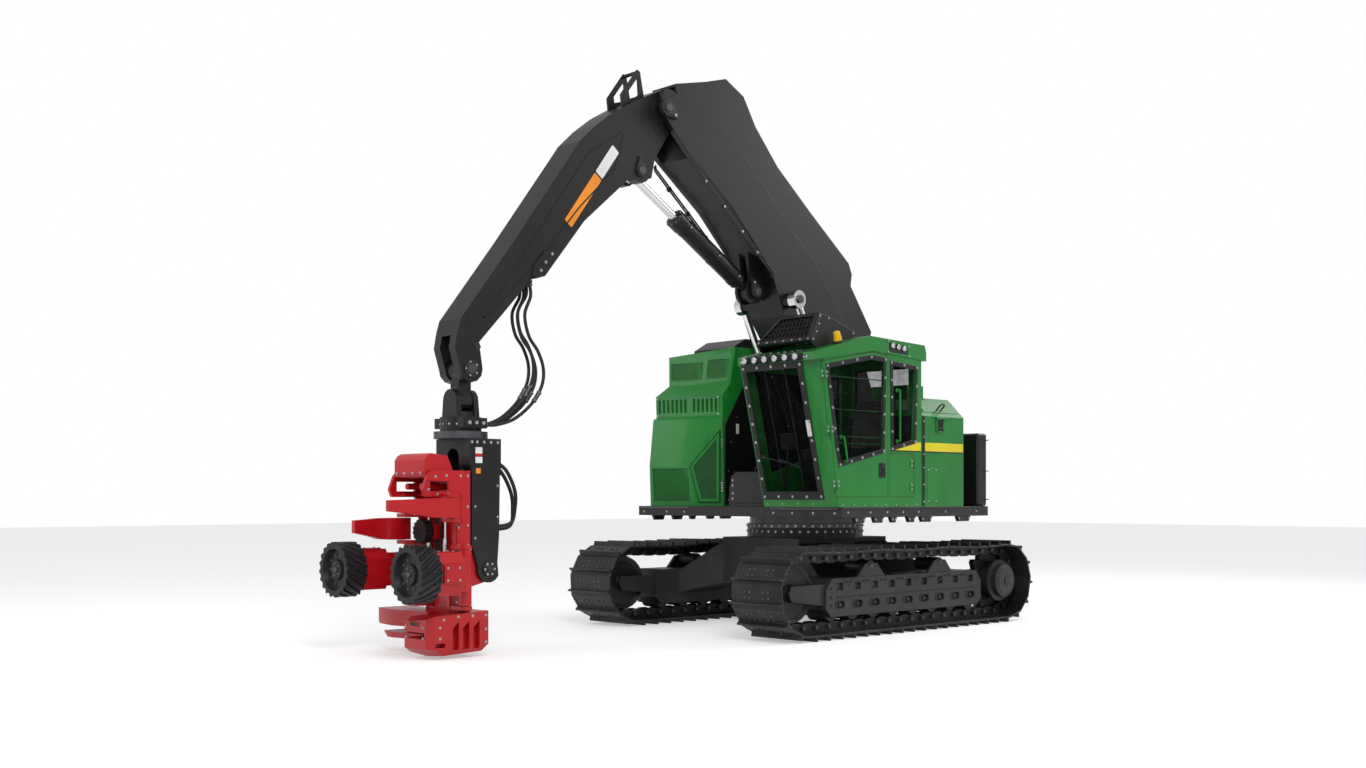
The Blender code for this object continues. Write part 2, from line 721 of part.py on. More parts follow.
# Seat and console in the cab
seat_x, seat_y_mid = 0.38, (cab_left + cab_right) / 2
floor_z = deck_high + touch_gap + cab_wall
pedestal = box((seat_x - 0.18, seat_y_mid - 0.16, floor_z + touch_gap), (seat_x + 0.18, seat_y_mid + 0.16, 1.74))
part("seat_base", pedestal, "dark", "upper")
seat_side = [(seat_x - 0.30, 1.74 + touch_gap), (seat_x + 0.26, 1.74 + touch_gap), (seat_x + 0.30, 1.86),
             (seat_x - 0.16, 1.88), (seat_x - 0.28, 2.62), (seat_x - 0.38, 2.62)]
part("operator_seat", side_plate([seat_side], seat_y_mid - 0.25, seat_y_mid + 0.25), "seat", "upper", 0.02)
consoles = []
for sign in (-1, 1):
    low, high = sorted((seat_y_mid + sign * 0.30, seat_y_mid + sign * 0.42))
    consoles.append(side_plate([[(seat_x - 0.2, floor_z + touch_gap), (seat_x + 0.25, floor_z + touch_gap),
                                 (seat_x + 0.42, 2.02), (seat_x - 0.15, 2.02)]], low, high))
link_bar = box((seat_x - 0.18, seat_y_mid - 0.31, floor_z + touch_gap + 0.001),
               (seat_x + 0.24, seat_y_mid + 0.31, floor_z + 0.03))
cut(link_bar, box((seat_x - 0.185, seat_y_mid - 0.165, floor_z - 0.1),
                  (seat_x + 0.185, seat_y_mid + 0.165, 2.0)))
part("control_consoles", fuse(consoles[0], link_bar, consoles[1]), "dark", "upper")

# Rear left compartment
tank_front = cab_rear - moving_gap
tank_side = [(tank_rear, deck_high + touch_gap), (tank_front, deck_high + touch_gap),
             (tank_front, tank_high), (cab_rear - 0.20, tank_high + 0.12), (tank_rear, tank_high + 0.02)]
tank_room = box((tank_rear + sheet, tank_right + sheet, deck_high - 0.1),
                (tank_front - sheet, cab_left - sheet, tank_high - sheet))
part("left_compartment", cut(side_plate([tank_side], tank_right, cab_left), tank_room), "green", "upper")

# Right-hand housing: plan with the inner corner cut off for the grille door
def housing_plan(inset, front):
    return [(front - inset, housing_right + inset), (front - inset, housing_chamfer[1] - 0.4 * inset),
            (housing_chamfer[0] - 0.4 * inset, housing_inner - inset),
            (housing_rear + inset, housing_inner - inset), (housing_rear + inset, housing_right + inset)]


skin = floor_plate([housing_plan(0, housing_front)], deck_high + touch_gap, housing_shoulder)
hood = loft([[(x, y, housing_shoulder - 0.01) for x, y in housing_plan(0.002, housing_front)],
             [(x, y, housing_shoulder + 0.12) for x, y in housing_plan(0.05, hood_front)],
             [(x, y, hood_high) for x, y in housing_plan(0.06, hood_front - 0.02)]])
room = floor_plate([housing_plan(sheet, housing_front)], deck_high - 0.1, housing_step)
front_left, front_right = housing_right + 0.08, housing_chamfer[1] - 0.08
lower_grille = box((housing_front - 0.02, front_left, 1.46), (housing_front + 0.1, front_right, 1.86))
louvres = []
for i in range(14):
    y = front_left + (front_right - front_left) * (i + 0.25) / 14
    louvres.append(box((housing_front - 0.02, y, 2.53), (housing_front + 0.1, y + 0.022, 2.70)))
near_corner = Vector((housing_front - 0.03, housing_chamfer[1] + 0.03, 0))
far_corner = Vector((housing_chamfer[0] + 0.03, housing_inner - 0.03, 0))
along = (far_corner - near_corner).normalized()
outward = Vector((along.y, -along.x, 0))
grille_low, grille_high = 1.45, 2.44


def chamfer_plate(margin, back, front):
    rings = []
    for z in (grille_low + margin, grille_high - margin):
        up = Vector((0, 0, z))
        ends = (near_corner + along * margin, far_corner - along * margin)
        rings.append([tuple(ends[0] + outward * back + up), tuple(ends[1] + outward * back + up),
                      tuple(ends[1] + outward * front + up), tuple(ends[0] + outward * front + up)])
    return loft(rings)


seam = floor_plate([housing_plan(-0.05, housing_front), housing_plan(0.008, housing_front)],
                   housing_step - 0.006, housing_step + 0.006)
door_seat = chamfer_plate(0.0, -grille_seat, 0.2)
part("engine_housing", cut(fuse(skin, hood), room, lower_grille, grouped(*louvres), door_seat, seam),
     "green", "upper")
part("grille_door", chamfer_plate(0.012, touch_gap - grille_seat, 0.02), "dark", "grille_door")
part("engine_block", box((-0.95, housing_right + 0.12, deck_high + touch_gap),
                         (0.20, housing_inner - 0.14, 2.20)), "steel", "upper")

# Boom
boom_side = [(2.45, 5.68), (2.378, 5.562), (2.04, 5.24), (1.36, 4.74), (0.95, 4.336), (0.72, 4.10),
             (0.58, 3.78), (0.50, 3.60), (0.10, 3.08), (-1.10, 1.98)]
boom_side += circle(boom_foot, 0.17, -40, -200, 7)
boom_side += [(-1.20, 2.62), (-0.95, 3.15), (-0.625, 3.551), (-0.285, 3.978), (-0.076, 4.26),
              (0.371, 4.611), (1.139, 5.322), (1.61, 5.648), (2.152, 5.79), (2.27, 5.865), (2.39, 5.87)]
beam = side_plate([boom_side], boom_y - boom_half, boom_y + boom_half)
fork_slot = side_plate([[(1.98, 4.95), (2.60, 5.0), (2.75, 6.2), (2.05, 6.2), (1.98, 5.6)]],
                       boom_y - stick_half - fork_room, boom_y + stick_half + fork_room)
lugs = []
for sign in (-1, 1):
    inner = eye_half + pin_gap
    low, high = sorted((boom_y + sign * inner, boom_y + sign * (inner + 0.04)))
    lug = [(0.55, 4.05), (0.62, 3.78)] + circle(crowd_base, 0.14, -150, 60, 8) + [(0.93, 4.36)]
    lugs.append(side_plate([lug], low, high))
    boss_end = boom_y + sign * (cylinder_offset - eye_half - pin_gap)
    boss_start = boom_y + sign * (boom_half - 0.05)
    lugs.append(rod((lift_pin[0], boss_start, lift_pin[1]), (lift_pin[0], boss_end, lift_pin[1]), 0.09))
cradle = []
for sign in (-1, 1):
    foot_end = boom_y + sign * (boom_half + girder_gap - pin_gap)
    cap_y = boom_y + sign * (boom_half - 0.02)
    cradle.append(rod((boom_foot[0], cap_y, boom_foot[1]), (boom_foot[0], foot_end, boom_foot[1]), 0.13))
    cradle.append(rod((knuckle[0], cap_y, knuckle[1]), (knuckle[0], cap_y + sign * 0.05, knuckle[1]), 0.09))
part("boom", fuse(cut(beam, fork_slot), *lugs, *cradle), "black", "boom")

# Hose guard on the boom's back
guard_side = [(2.15, 5.98), (1.70, 6.09), (1.38, 6.186), (1.09, 6.04), (0.892, 5.73), (0.52, 5.33),
              (-0.06, 4.876), (-0.762, 4.354), (-0.823, 4.225), (-0.80, 4.08), (-1.201, 3.544),
              (-1.05, 3.18), (-0.60, 3.40), (-0.06, 4.10), (0.42, 4.50), (1.14, 5.22), (1.62, 5.55),
              (2.10, 5.70)]
guard_half = 0.19
guard_sheet = 0.025
guard_block = side_plate([guard_side], boom_y - guard_half, boom_y + guard_half)
guard_seat = side_plate([[(x - touch_gap, z + touch_gap) for x, z in boom_side]], boom_y - 0.3, boom_y + 0.3)
guard_room = side_plate([[(x + 0.02, z - 0.035) for x, z in guard_side]],
                        boom_y - guard_half + guard_sheet, boom_y + guard_half - guard_sheet)
part("boom_hose_guard", cut(guard_block, guard_seat, guard_room), "black", "boom")


def point_at(start, end, distance):
    length = math.dist(start, end)
    return tuple(a + (b - a) * distance / length for a, b in zip(start, end))


def cylinder_pair(barrel_name, rod_name, base, pin, middle, barrel_radius, rod_radius, barrel_length):
    def at(distance):
        x, z = point_at(base, pin, distance)
        return (x, middle, z)
    reach = math.dist(base, pin)
    eye = rod((base[0], middle - eye_half, base[1]), (base[0], middle + eye_half, base[1]), eye_radius)
    neck = rod(at(0.0), at(eye_radius + 0.14), eye_half - 0.002, 16)
    barrel = rod(at(eye_radius + 0.12), at(barrel_length), barrel_radius)
    gland = rod(at(barrel_length - 0.10), at(barrel_length + 0.03), barrel_radius * 1.12)
    bore = rod(at(eye_radius * 2.4), at(barrel_length + 0.1), rod_radius + pin_gap)
    part(barrel_name, cut(fuse(barrel, eye, neck, gland), bore), "green", barrel_name)
    end = rod((pin[0], middle - eye_half, pin[1]), (pin[0], middle + eye_half, pin[1]), eye_radius)
    stroke_left = 0.60
    shaft = rod(at(barrel_length - stroke_left), at(reach - eye_radius * 0.6), rod_radius)
    part(rod_name, fuse(shaft, end), "chrome", rod_name)


for side, sign in (("left", 1), ("right", -1)):
    cylinder_pair("lift_barrel_" + side, "lift_rod_" + side, lift_base, lift_pin,
                  boom_y + sign * cylinder_offset, lift_barrel_radius, lift_rod_radius, lift_barrel_length)
cylinder_pair("crowd_barrel", "crowd_rod", crowd_base, crowd_pin, boom_y,
              crowd_barrel_radius, crowd_rod_radius, crowd_barrel_length)

# Stick
stick_side = circle(knuckle, 0.235, 100, 215, 8)
stick_side += [(2.45, 5.12), (2.50, 4.90)] + circle(crowd_pin, 0.13, 200, 330, 6)
stick_side += [(2.96, 4.724), (3.43, 4.32), (3.94, 3.70), (4.11, 3.65), (4.742, 2.981), (4.70, 2.72)]
stick_side += circle(stick_tip, 0.13, 180, 360, 7)
stick_side += [(5.02, 2.92), (4.99, 3.08), (4.956, 3.192), (4.315, 4.02), (3.659, 4.90), (3.489, 5.13),
               (3.286, 5.32), (3.05, 5.50), (2.779, 5.66)]
stick = side_plate([stick_side], boom_y - stick_half, boom_y + stick_half)
crowd_gap = side_plate([[(2.05, 4.62), (2.46, 5.24), (2.86, 5.20), (3.12, 4.86), (2.60, 4.30)]],
                       boom_y - eye_half - pin_gap, boom_y + eye_half + pin_gap)
tip_gap = side_plate([[(4.55, 2.50), (4.66, 3.02), (4.90, 3.10), (5.20, 2.90), (5.1, 2.40)]],
                     boom_y - link_half - pin_gap, boom_y + link_half + pin_gap)
knuckle_end = stick_half + fork_room - pin_gap
knuckle_boss = rod((knuckle[0], boom_y - knuckle_end, knuckle[1]),
                   (knuckle[0], boom_y + knuckle_end, knuckle[1]), 0.13)
part("stick", cut(fuse(stick, knuckle_boss), crowd_gap, tip_gap), "black", "stick")

# Swing link, rotator box and rotator
link_z = stick_tip[1] - link_drop
tip_x, tip_z = stick_tip
link_top = rod((tip_x, boom_y - link_half, tip_z), (tip_x, boom_y + link_half, tip_z), 0.11)
shank_half = link_half - 0.005
shank = box((tip_x - shank_half, boom_y - shank_half, link_z), (tip_x + shank_half, boom_y + shank_half, tip_z))
link_eye = rod((tip_x - link_half, boom_y, link_z), (tip_x + link_half, boom_y, link_z), 0.10)
part("swing_link", fuse(link_top, shank, link_eye), "black", "swing_link")
base_z = rotor_top + 0.14
cheeks = []
for sign in (-1, 1):
    low, high = sorted((tip_x + sign * (link_half + pin_gap), tip_x + sign * 0.13))
    cheek = [(boom_y - 0.13, base_z - 0.02), (boom_y + 0.13, base_z - 0.02)]
    cheek += circle((boom_y, link_z), 0.11, 0, 180, 9)
    cheeks.append(front_plate([cheek], low, high))
housing = rod((tip_x, boom_y, rotor_top), (tip_x, boom_y, base_z), 0.20, 24)
wings = box((tip_x - 0.14, boom_y - 0.24, rotor_top + 0.03), (tip_x + 0.14, boom_y + 0.24, base_z - 0.01))
part("rotator_box", fuse(housing, wings, *cheeks), "black", "rotator_box")

# Hanger: flange under the rotator, box top and two side cheeks down to the tilt pin
flange = rod((tip_x, boom_y, hanger_top + touch_gap), (tip_x, boom_y, rotor_top - pin_gap), 0.26, 24)
top_side = [(4.56, hanger_top), (5.04, hanger_top), (5.04, 1.80), (4.90, 1.80), (4.60, 1.70), (4.56, 1.70)]
top_box = side_plate([top_side], boom_y - 0.29, boom_y + 0.29)
cheek_side = [(4.56, hanger_top - 0.01), (4.90, hanger_top - 0.01), (4.90, 1.05)]
cheek_side += circle(tilt_pin, 0.13, 10, -190, 8) + [(4.56, 1.10)]
cheek_plates = []
for sign in (-1, 1):
    low, high = sorted((boom_y + sign * 0.25, boom_y + sign * 0.285))
    cheek_plates.append(side_plate([cheek_side], low, high))
back = box((4.565, boom_y - 0.27, 1.15), (4.605, boom_y + 0.27, 1.9))
part("hanger", fuse(top_box, *cheek_plates, back), "black", "hanger")
part("rotator", flange, "steel", "hanger")

# Head frame: spine plate with flanged sides, rear lugs, fixed upper knife and roof
spine_plan = [(spine_back, boom_y - spine_half)]
for x, y in ((0.04, -spine_half), (0.04, -0.20), (0.10, -0.14), (0.10, 0.14), (0.04, 0.20), (0.04, spine_half)):
    spine_plan.append((spine_back + x, boom_y + y))
spine_plan.append((spine_back, boom_y + spine_half))
spine = floor_plate([spine_plan], spine_low, spine_high)
sides = []
for sign in (-1, 1):
    low, high = sorted((boom_y + sign * (spine_half - 0.04), boom_y + sign * spine_half))
    flank = [(spine_back, spine_low), (spine_front, spine_low), (spine_front, 0.62),
             (spine_front - 0.06, 0.70), (spine_front - 0.06, 1.08), (spine_front + 0.10, 1.16),
             (spine_front + 0.10, 1.56), (spine_front + 0.30, 1.60), (spine_front + 0.34, spine_high + 0.14),
             (spine_front + 0.20, spine_high + 0.18), (spine_front + 0.08, spine_high),
             (spine_back, spine_high)]
    sides.append(side_plate([flank], low, high))
lug_side = [(spine_back + 0.02, 0.62), (spine_back + 0.02, 1.00)] + circle(tilt_pin, 0.12, 100, 270, 7)
for sign in (-1, 1):
    low, high = sorted((boom_y + sign * 0.16, boom_y + sign * (0.25 - pin_gap)))
    sides.append(side_plate([lug_side], low, high))
sides.append(rod((tilt_pin[0], boom_y - 0.2, tilt_pin[1]), (tilt_pin[0], boom_y + 0.2, tilt_pin[1]), 0.06))
for sign in (-1, 1):
    for x, y, low, high in ((*arm_hinge, arm_low, arm_high), (*knife_hinge, *knife_levels[sign])):
        for start, end in ((low - 0.035 - pin_gap, low - pin_gap), (high + pin_gap, high + 0.035 + pin_gap)):
            ear = [(x - 0.08, spine_half - 0.03), (x + 0.08, spine_half - 0.03), (x + 0.06, y)]
            ear += circle((x, y), 0.06, 20, 160, 7) + [(x - 0.06, y)]
            sides.append(floor_plate([[(px, boom_y + sign * py) for px, py in ear]], start, end))
roof_side = [(spine_back, spine_high - 0.03), (spine_front + 0.06, spine_high - 0.03),
             (spine_front + 0.32, spine_high + 0.10), (spine_front + 0.32, spine_high + 0.14),
             (spine_front + 0.20, spine_high + 0.17), (spine_front + 0.04, spine_high),
             (spine_back, spine_high)]
sides.append(side_plate([roof_side], boom_y - spine_half, boom_y + spine_half))
part("head_frame", fuse(spine, *sides), "red", "head")

# Saw box below the frame, open towards the stem
saw_front = 5.30
saw_low, saw_high = 0.035, 0.43
saw_back = spine_back - 0.03
saw_plan = []
for x, y in ((saw_back, -0.62), (saw_back, 0.55), (saw_front, 0.55), (saw_front, 0.30), (saw_front - 0.10, 0.22),
             (saw_front - 0.10, -0.46), (saw_front, -0.56), (saw_front, -0.62)):
    saw_plan.append((x, boom_y + y))
saw_case = floor_plate([saw_plan], saw_low, saw_high)
saw_slot = box((spine_back + 0.05, boom_y - 0.58, slot_low), (saw_front + 0.02, boom_y + 0.50, slot_high))
seat_lip = box((spine_back, boom_y - spine_half, saw_high - 0.01),
               (spine_back + 0.10, boom_y + spine_half, spine_low - touch_gap))
part("saw_box", cut(fuse(saw_case, seat_lip), saw_slot), "red", "head")
saw_x, saw_y = saw_hinge[0], boom_y + saw_hinge[1]
saw_hub = rod((saw_x, saw_y, slot_low + pin_gap), (saw_x, saw_y, slot_high - pin_gap), 0.05)
bar_tip = (saw_x, saw_y - saw_reach)
bar_plan = [(saw_x - 0.03, saw_y), (saw_x + 0.03, saw_y)] + circle(bar_tip, 0.04, 0, -180, 8)
bar_middle = (slot_low + slot_high) / 2
part("saw_bar", fuse(floor_plate([bar_plan], bar_middle - 0.006, bar_middle + 0.006), saw_hub), "steel", "saw")



def sided(points, sign):
    return [(x, boom_y + sign * y) for x, y in points]


# Feed arms with their motor housings, and the ribbed feed drums
hinge_x, hinge_y = arm_hinge
arm_plan = [(hinge_x - 0.05, hinge_y - 0.02), (hinge_x + 0.02, hinge_y + 0.08), (5.20, drum_offset + 0.14),
            (5.46, drum_offset + 0.14), (5.46, drum_offset - 0.14), (5.20, drum_offset - 0.14),
            (hinge_x + 0.05, hinge_y - 0.05)]
for side, sign in (("left", 1), ("right", -1)):
    drum_y = boom_y + sign * drum_offset
    post_y = boom_y + sign * hinge_y
    post = rod((hinge_x, post_y, arm_low), (hinge_x, post_y, arm_high), 0.06)
    arm_plate = floor_plate([sided(arm_plan, sign)], drum_z - 0.18, drum_z + 0.17)
    motor = rod((5.40, drum_y, drum_z), (drum_front - drum_length - pin_gap, drum_y, drum_z), 0.12)
    part("feed_arm_" + side, fuse(arm_plate, post, motor), "red", "feed_arm_" + side)
    rib = []
    teeth = 14
    for i in range(teeth):
        for share, radius in ((0.0, drum_root), (0.22, drum_radius), (0.5, drum_radius), (0.72, drum_root)):
            turn = 2 * math.pi * (i + share) / teeth
            rib.append((radius * math.cos(turn), radius * math.sin(turn)))
    slices = []
    layers = 4
    for k in range(layers):
        twist = math.radians(38) * k / (layers - 1) * sign
        x = drum_front - drum_length * k / (layers - 1)
        cosine, sine = math.cos(twist), math.sin(twist)
        slices.append([(x, drum_y + y * cosine - z * sine, drum_z + y * sine + z * cosine) for y, z in rib])
    drum = loft(slices)
    dish = turned([(0, 0.01), (0.175, 0.01), (0.155, -0.09), (0, -0.09)],
                  (drum_front, drum_y, drum_z), (1, 0, 0), 16)
    part("feed_drum_" + side, cut(drum, dish), "black", "drum_" + side)

# Delimbing knives: curved arms turning on the frame's flanks
knife_plan = circle(knife_hinge, 0.055, 200, 100, 6)
knife_plan += [(5.36, 0.60), (5.60, 0.66), (5.80, 0.63), (5.85, 0.56), (5.80, 0.545), (5.62, 0.555),
               (5.42, 0.50), (5.30, 0.42), (5.23, 0.385)]
for side, sign in (("left", 1), ("right", -1)):
    blade = floor_plate([sided(knife_plan, sign)], *knife_levels[sign])
    part("knife_" + side, blade, "red", "knife_" + side)


# The whole model stands centred on the origin, on the ground
def settle():
    bpy.context.view_layer.update()
    graph = bpy.context.evaluated_depsgraph_get()
    corners = []
    for obj in parts.objects:
        seen = obj.evaluated_get(graph)
        corners += [seen.matrix_world @ Vector(corner) for corner in seen.bound_box]
    for axis in (0, 1):
        values = [corner[axis] for corner in corners]
        machine.location[axis] -= (min(values) + max(values)) / 2.0
    machine.location.z -= min(corner.z for corner in corners)
    bpy.context.view_layer.update()


settle()
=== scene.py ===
# Looks of the tracked forestry harvester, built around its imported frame
import json
import math

import bmesh
import bpy
from mathutils import Matrix, Vector

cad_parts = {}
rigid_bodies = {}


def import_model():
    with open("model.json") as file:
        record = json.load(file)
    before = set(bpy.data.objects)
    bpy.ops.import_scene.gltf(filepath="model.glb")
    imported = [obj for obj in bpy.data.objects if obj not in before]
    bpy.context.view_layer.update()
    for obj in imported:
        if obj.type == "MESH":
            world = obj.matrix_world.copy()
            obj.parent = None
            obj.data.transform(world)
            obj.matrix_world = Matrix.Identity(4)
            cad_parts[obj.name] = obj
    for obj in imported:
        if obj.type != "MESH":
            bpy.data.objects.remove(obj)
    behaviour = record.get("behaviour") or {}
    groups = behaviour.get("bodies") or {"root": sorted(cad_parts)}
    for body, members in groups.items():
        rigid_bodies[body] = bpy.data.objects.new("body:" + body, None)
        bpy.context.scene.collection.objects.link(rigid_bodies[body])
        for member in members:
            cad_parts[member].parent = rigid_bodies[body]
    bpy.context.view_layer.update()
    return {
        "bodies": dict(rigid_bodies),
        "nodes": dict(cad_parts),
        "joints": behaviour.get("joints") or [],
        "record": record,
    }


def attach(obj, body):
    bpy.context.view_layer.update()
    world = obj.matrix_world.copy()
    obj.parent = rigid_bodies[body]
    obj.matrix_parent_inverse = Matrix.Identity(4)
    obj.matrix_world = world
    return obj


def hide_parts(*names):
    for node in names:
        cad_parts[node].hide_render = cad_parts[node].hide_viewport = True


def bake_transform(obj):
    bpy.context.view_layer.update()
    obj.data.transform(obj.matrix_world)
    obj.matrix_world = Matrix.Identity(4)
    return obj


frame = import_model()
nodes = frame["nodes"]

slewJoint = next(joint for joint in frame["joints"] if joint["name"] == "slew")
slewAxis = Vector((slewJoint["pos_m"][0], slewJoint["pos_m"][1],
                   0.0))  # machine places are measured from here


def place(x, y, z):
    return slewAxis + Vector((x, y, z))


# Camera: the photograph's own, fitted to the two tracks
cameraSetup = {
    "place": (12.825, 11.3633, 1.4995),
    "heading": 0.8099,  # radians between the view and the machine's length
    "focalPixels": 1432.6,
    "horizonRow": 496.1,
    "imageWidth": 1366,
    "imageHeight": 768,
    "sensor": 36.0,
}


def addCamera(setup):
    data = bpy.data.cameras.new("photoCamera")
    camera = bpy.data.objects.new("photoCamera", data)
    bpy.context.scene.collection.objects.link(camera)
    camera.location = place(*setup["place"])
    camera.rotation_euler = (math.pi / 2, 0.0, setup["heading"] + math.pi / 2)
    data.sensor_width = setup["sensor"]
    data.lens = setup["sensor"] * setup["focalPixels"] / setup["imageWidth"]
    data.shift_y = (setup["horizonRow"] - setup["imageHeight"] / 2) / setup["imageWidth"]
    data.clip_end = 200.0
    bpy.context.scene.camera = camera


addCamera(cameraSetup)
print("stage: camera")

# Floor, world and lights
studio = {
    "floorReach": 60.0,
    "floorColour": (0.70, 0.70, 0.71),
    "floorLift": 0.40,  # even white added where the camera sees the floor
    "worldStrength": 0.62,
    "aim": (1.5, 0.0, 2.0),
    # name, power, size, place
    "lights": [
        ("keyLight", 900.0, 6.0, (9.0, 10.0, 10.0)),
        ("fillLight", 260.0, 8.0, (13.0, -5.0, 6.0)),
        ("rimLight", 520.0, 6.0, (-9.0, 4.0, 9.0)),
    ],
}


def nodeTree(name):
    material = bpy.data.materials.new(name)
    material.use_nodes = True
    tree = material.node_tree
    return material, tree, tree.nodes["Principled BSDF"]


def seenRays(tree, outputs):
    rays = tree.nodes.new("ShaderNodeLightPath")
    total = rays.outputs[outputs[0]]
    for output in outputs[1:]:
        most = tree.nodes.new("ShaderNodeMath")
        most.operation = "MAXIMUM"
        tree.links.new(total, most.inputs[0])
        tree.links.new(rays.outputs[output], most.inputs[1])
        total = most.outputs[0]
    return total


def addFloor(setup):
    mesh = bpy.data.meshes.new("floor")
    bm = bmesh.new()
    bmesh.ops.create_grid(bm, x_segments=1, y_segments=1, size=setup["floorReach"])
    bm.to_mesh(mesh)
    bm.free()
    floor = bpy.data.objects.new("floor", mesh)
    bpy.context.scene.collection.objects.link(floor)
    material, tree, shader = nodeTree("floorPale")
    shader.inputs["Base Color"].default_value = (*setup["floorColour"], 1.0)
    shader.inputs["Roughness"].default_value = 0.8
    shader.inputs["Specular IOR Level"].default_value = 0.0
    glow = tree.nodes.new("ShaderNodeEmission")
    strength = tree.nodes.new("ShaderNodeMath")
    strength.operation = "MULTIPLY"
    strength.inputs[1].default_value = setup["floorLift"]
    tree.links.new(seenRays(tree, ["Is Camera Ray", "Is Glossy Ray", "Is Transmission Ray"]),
                   strength.inputs[0])
    tree.links.new(strength.outputs[0], glow.inputs["Strength"])
    both = tree.nodes.new("ShaderNodeAddShader")
    tree.links.new(shader.outputs[0], both.inputs[0])
    tree.links.new(glow.outputs[0], both.inputs[1])
    tree.links.new(both.outputs[0], tree.nodes["Material Output"].inputs["Surface"])
    mesh.materials.append(material)


def addLight(name, power, size, spot, aim):
    data = bpy.data.lights.new(name, "AREA")
    data.energy = power
    data.shape = "DISK"
    data.size = size
    lamp = bpy.data.objects.new(name, data)
    bpy.context.scene.collection.objects.link(lamp)
    lamp.location = place(*spot)
    lamp.rotation_euler = (place(*aim) - lamp.location).to_track_quat("-Z", "Y").to_euler()


def addWorld(strength):
    world = bpy.data.worlds.new("studio")
    bpy.context.scene.world = world
    world.use_nodes = True
    tree = world.node_tree
    tree.nodes.clear()
    output = tree.nodes.new("ShaderNodeOutputWorld")
    dim = tree.nodes.new("ShaderNodeBackground")
    white = tree.nodes.new("ShaderNodeBackground")
    mix = tree.nodes.new("ShaderNodeMixShader")
    dim.inputs["Color"].default_value = (1.0, 1.0, 1.0, 1.0)
    dim.inputs["Strength"].default_value = strength
    white.inputs["Color"].default_value = (1.0, 1.0, 1.0, 1.0)
    white.inputs["Strength"].default_value = 1.0
    tree.links.new(seenRays(tree, ["Is Camera Ray", "Is Transmission Ray"]), mix.inputs[0])
    tree.links.new(dim.outputs[0], mix.inputs[1])
    tree.links.new(white.outputs[0], mix.inputs[2])
    tree.links.new(mix.outputs[0], output.inputs[0])


addFloor(studio)
addWorld(studio["worldStrength"])
for lampName, lampPower, lampSize, lampPlace in studio["lights"]:
    addLight(lampName, lampPower, lampSize, lampPlace, studio["aim"])
bpy.context.scene.view_settings.view_transform = "Standard"
print("stage: studio")

# Finishes: each is built from its own row of values
paints = {
    # name: colour, worn colour, roughness, coat, edge radius, dust, edge wear
    "greenPaint": {"colour": (0.006, 0.205, 0.022), "worn": (0.03, 0.30, 0.06), "rough": 0.34, "coat": 0.30,
                   "edge": 0.007, "dust": 0.06, "wear": 0.35, "slot": "green_paint"},
    "blackPaint": {"colour": (0.0045, 0.0045, 0.005), "worn": (0.06, 0.06, 0.06), "rough": 0.40, "coat": 0.10,
                   "edge": 0.008, "dust": 0.05, "wear": 0.25, "slot": "black_paint"},
    "greyPaint": {"colour": (0.016, 0.016, 0.017), "worn": (0.09, 0.09, 0.09), "rough": 0.42, "coat": 0.10,
                  "edge": 0.006, "dust": 0.08, "wear": 0.25, "slot": "black_paint"},
    "redPaint": {"colour": (0.520, 0.003, 0.008), "worn": (0.66, 0.06, 0.06), "rough": 0.34, "coat": 0.25,
                 "edge": 0.005, "dust": 0.03, "wear": 0.40, "slot": "red_paint"},
    "yellowPaint": {"colour": (0.85, 0.72, 0.01), "worn": (0.75, 0.62, 0.08), "rough": 0.35, "coat": 0.3,
                    "edge": 0.002, "dust": 0.04, "wear": 0.2, "slot": "green_paint"},
    "whitePlate": {"colour": (0.78, 0.78, 0.77), "worn": (0.60, 0.60, 0.58), "rough": 0.40, "coat": 0.2,
                   "edge": 0.002, "dust": 0.05, "wear": 0.2, "slot": "black_paint"},
    "orangePlate": {"colour": (0.85, 0.27, 0.01), "worn": (0.70, 0.30, 0.08), "rough": 0.40, "coat": 0.2,
                    "edge": 0.002, "dust": 0.05, "wear": 0.2, "slot": "black_paint"},
    "darkPlastic": {"colour": (0.022, 0.022, 0.024), "worn": (0.05, 0.05, 0.05), "rough": 0.55, "coat": 0.0,
                    "edge": 0.004, "dust": 0.06, "wear": 0.1, "slot": "cab_plastic"},
    "trackSteel": {"colour": (0.030, 0.030, 0.032), "worn": (0.26, 0.26, 0.27), "rough": 0.36, "coat": 0.0,
                   "edge": 0.006, "dust": 0.10, "wear": 0.85, "metal": 0.75, "slot": "track_steel"},
    "boltSteel": {"colour": (0.50, 0.50, 0.51), "worn": (0.75, 0.75, 0.76), "rough": 0.28, "coat": 0.0,
                  "edge": 0.001, "dust": 0.0, "wear": 0.5, "metal": 0.9, "slot": "bare_steel"},
    "darkSteel": {"colour": (0.10, 0.10, 0.11), "worn": (0.30, 0.30, 0.31), "rough": 0.35, "coat": 0.0,
                  "edge": 0.004, "dust": 0.04, "wear": 0.6, "metal": 0.85, "slot": "bare_steel"},
    "chrome": {"colour": (0.82, 0.82, 0.84), "worn": (0.9, 0.9, 0.9), "rough": 0.08, "coat": 0.0,
               "edge": 0.002, "dust": 0.0, "wear": 0.1, "metal": 1.0, "slot": "rod_chrome"},
    "hoseRubber": {"colour": (0.016, 0.016, 0.017), "worn": (0.05, 0.05, 0.05), "rough": 0.50, "coat": 0.0,
                   "edge": 0.001, "dust": 0.04, "wear": 0.1, "slot": "cab_plastic"},
    "drumSteel": {"colour": (0.020, 0.020, 0.022), "worn": (0.20, 0.20, 0.21), "rough": 0.42, "coat": 0.0,
                  "edge": 0.004, "dust": 0.03, "wear": 0.8, "metal": 0.5, "slot": "black_paint"},
}
dustColour = (0.22, 0.20, 0.17, 1.0)
finishes = {}


def addNode(tree, kind, **settings):
    node = tree.nodes.new(kind)
    for key, value in settings.items():
        setattr(node, key, value)
    return node


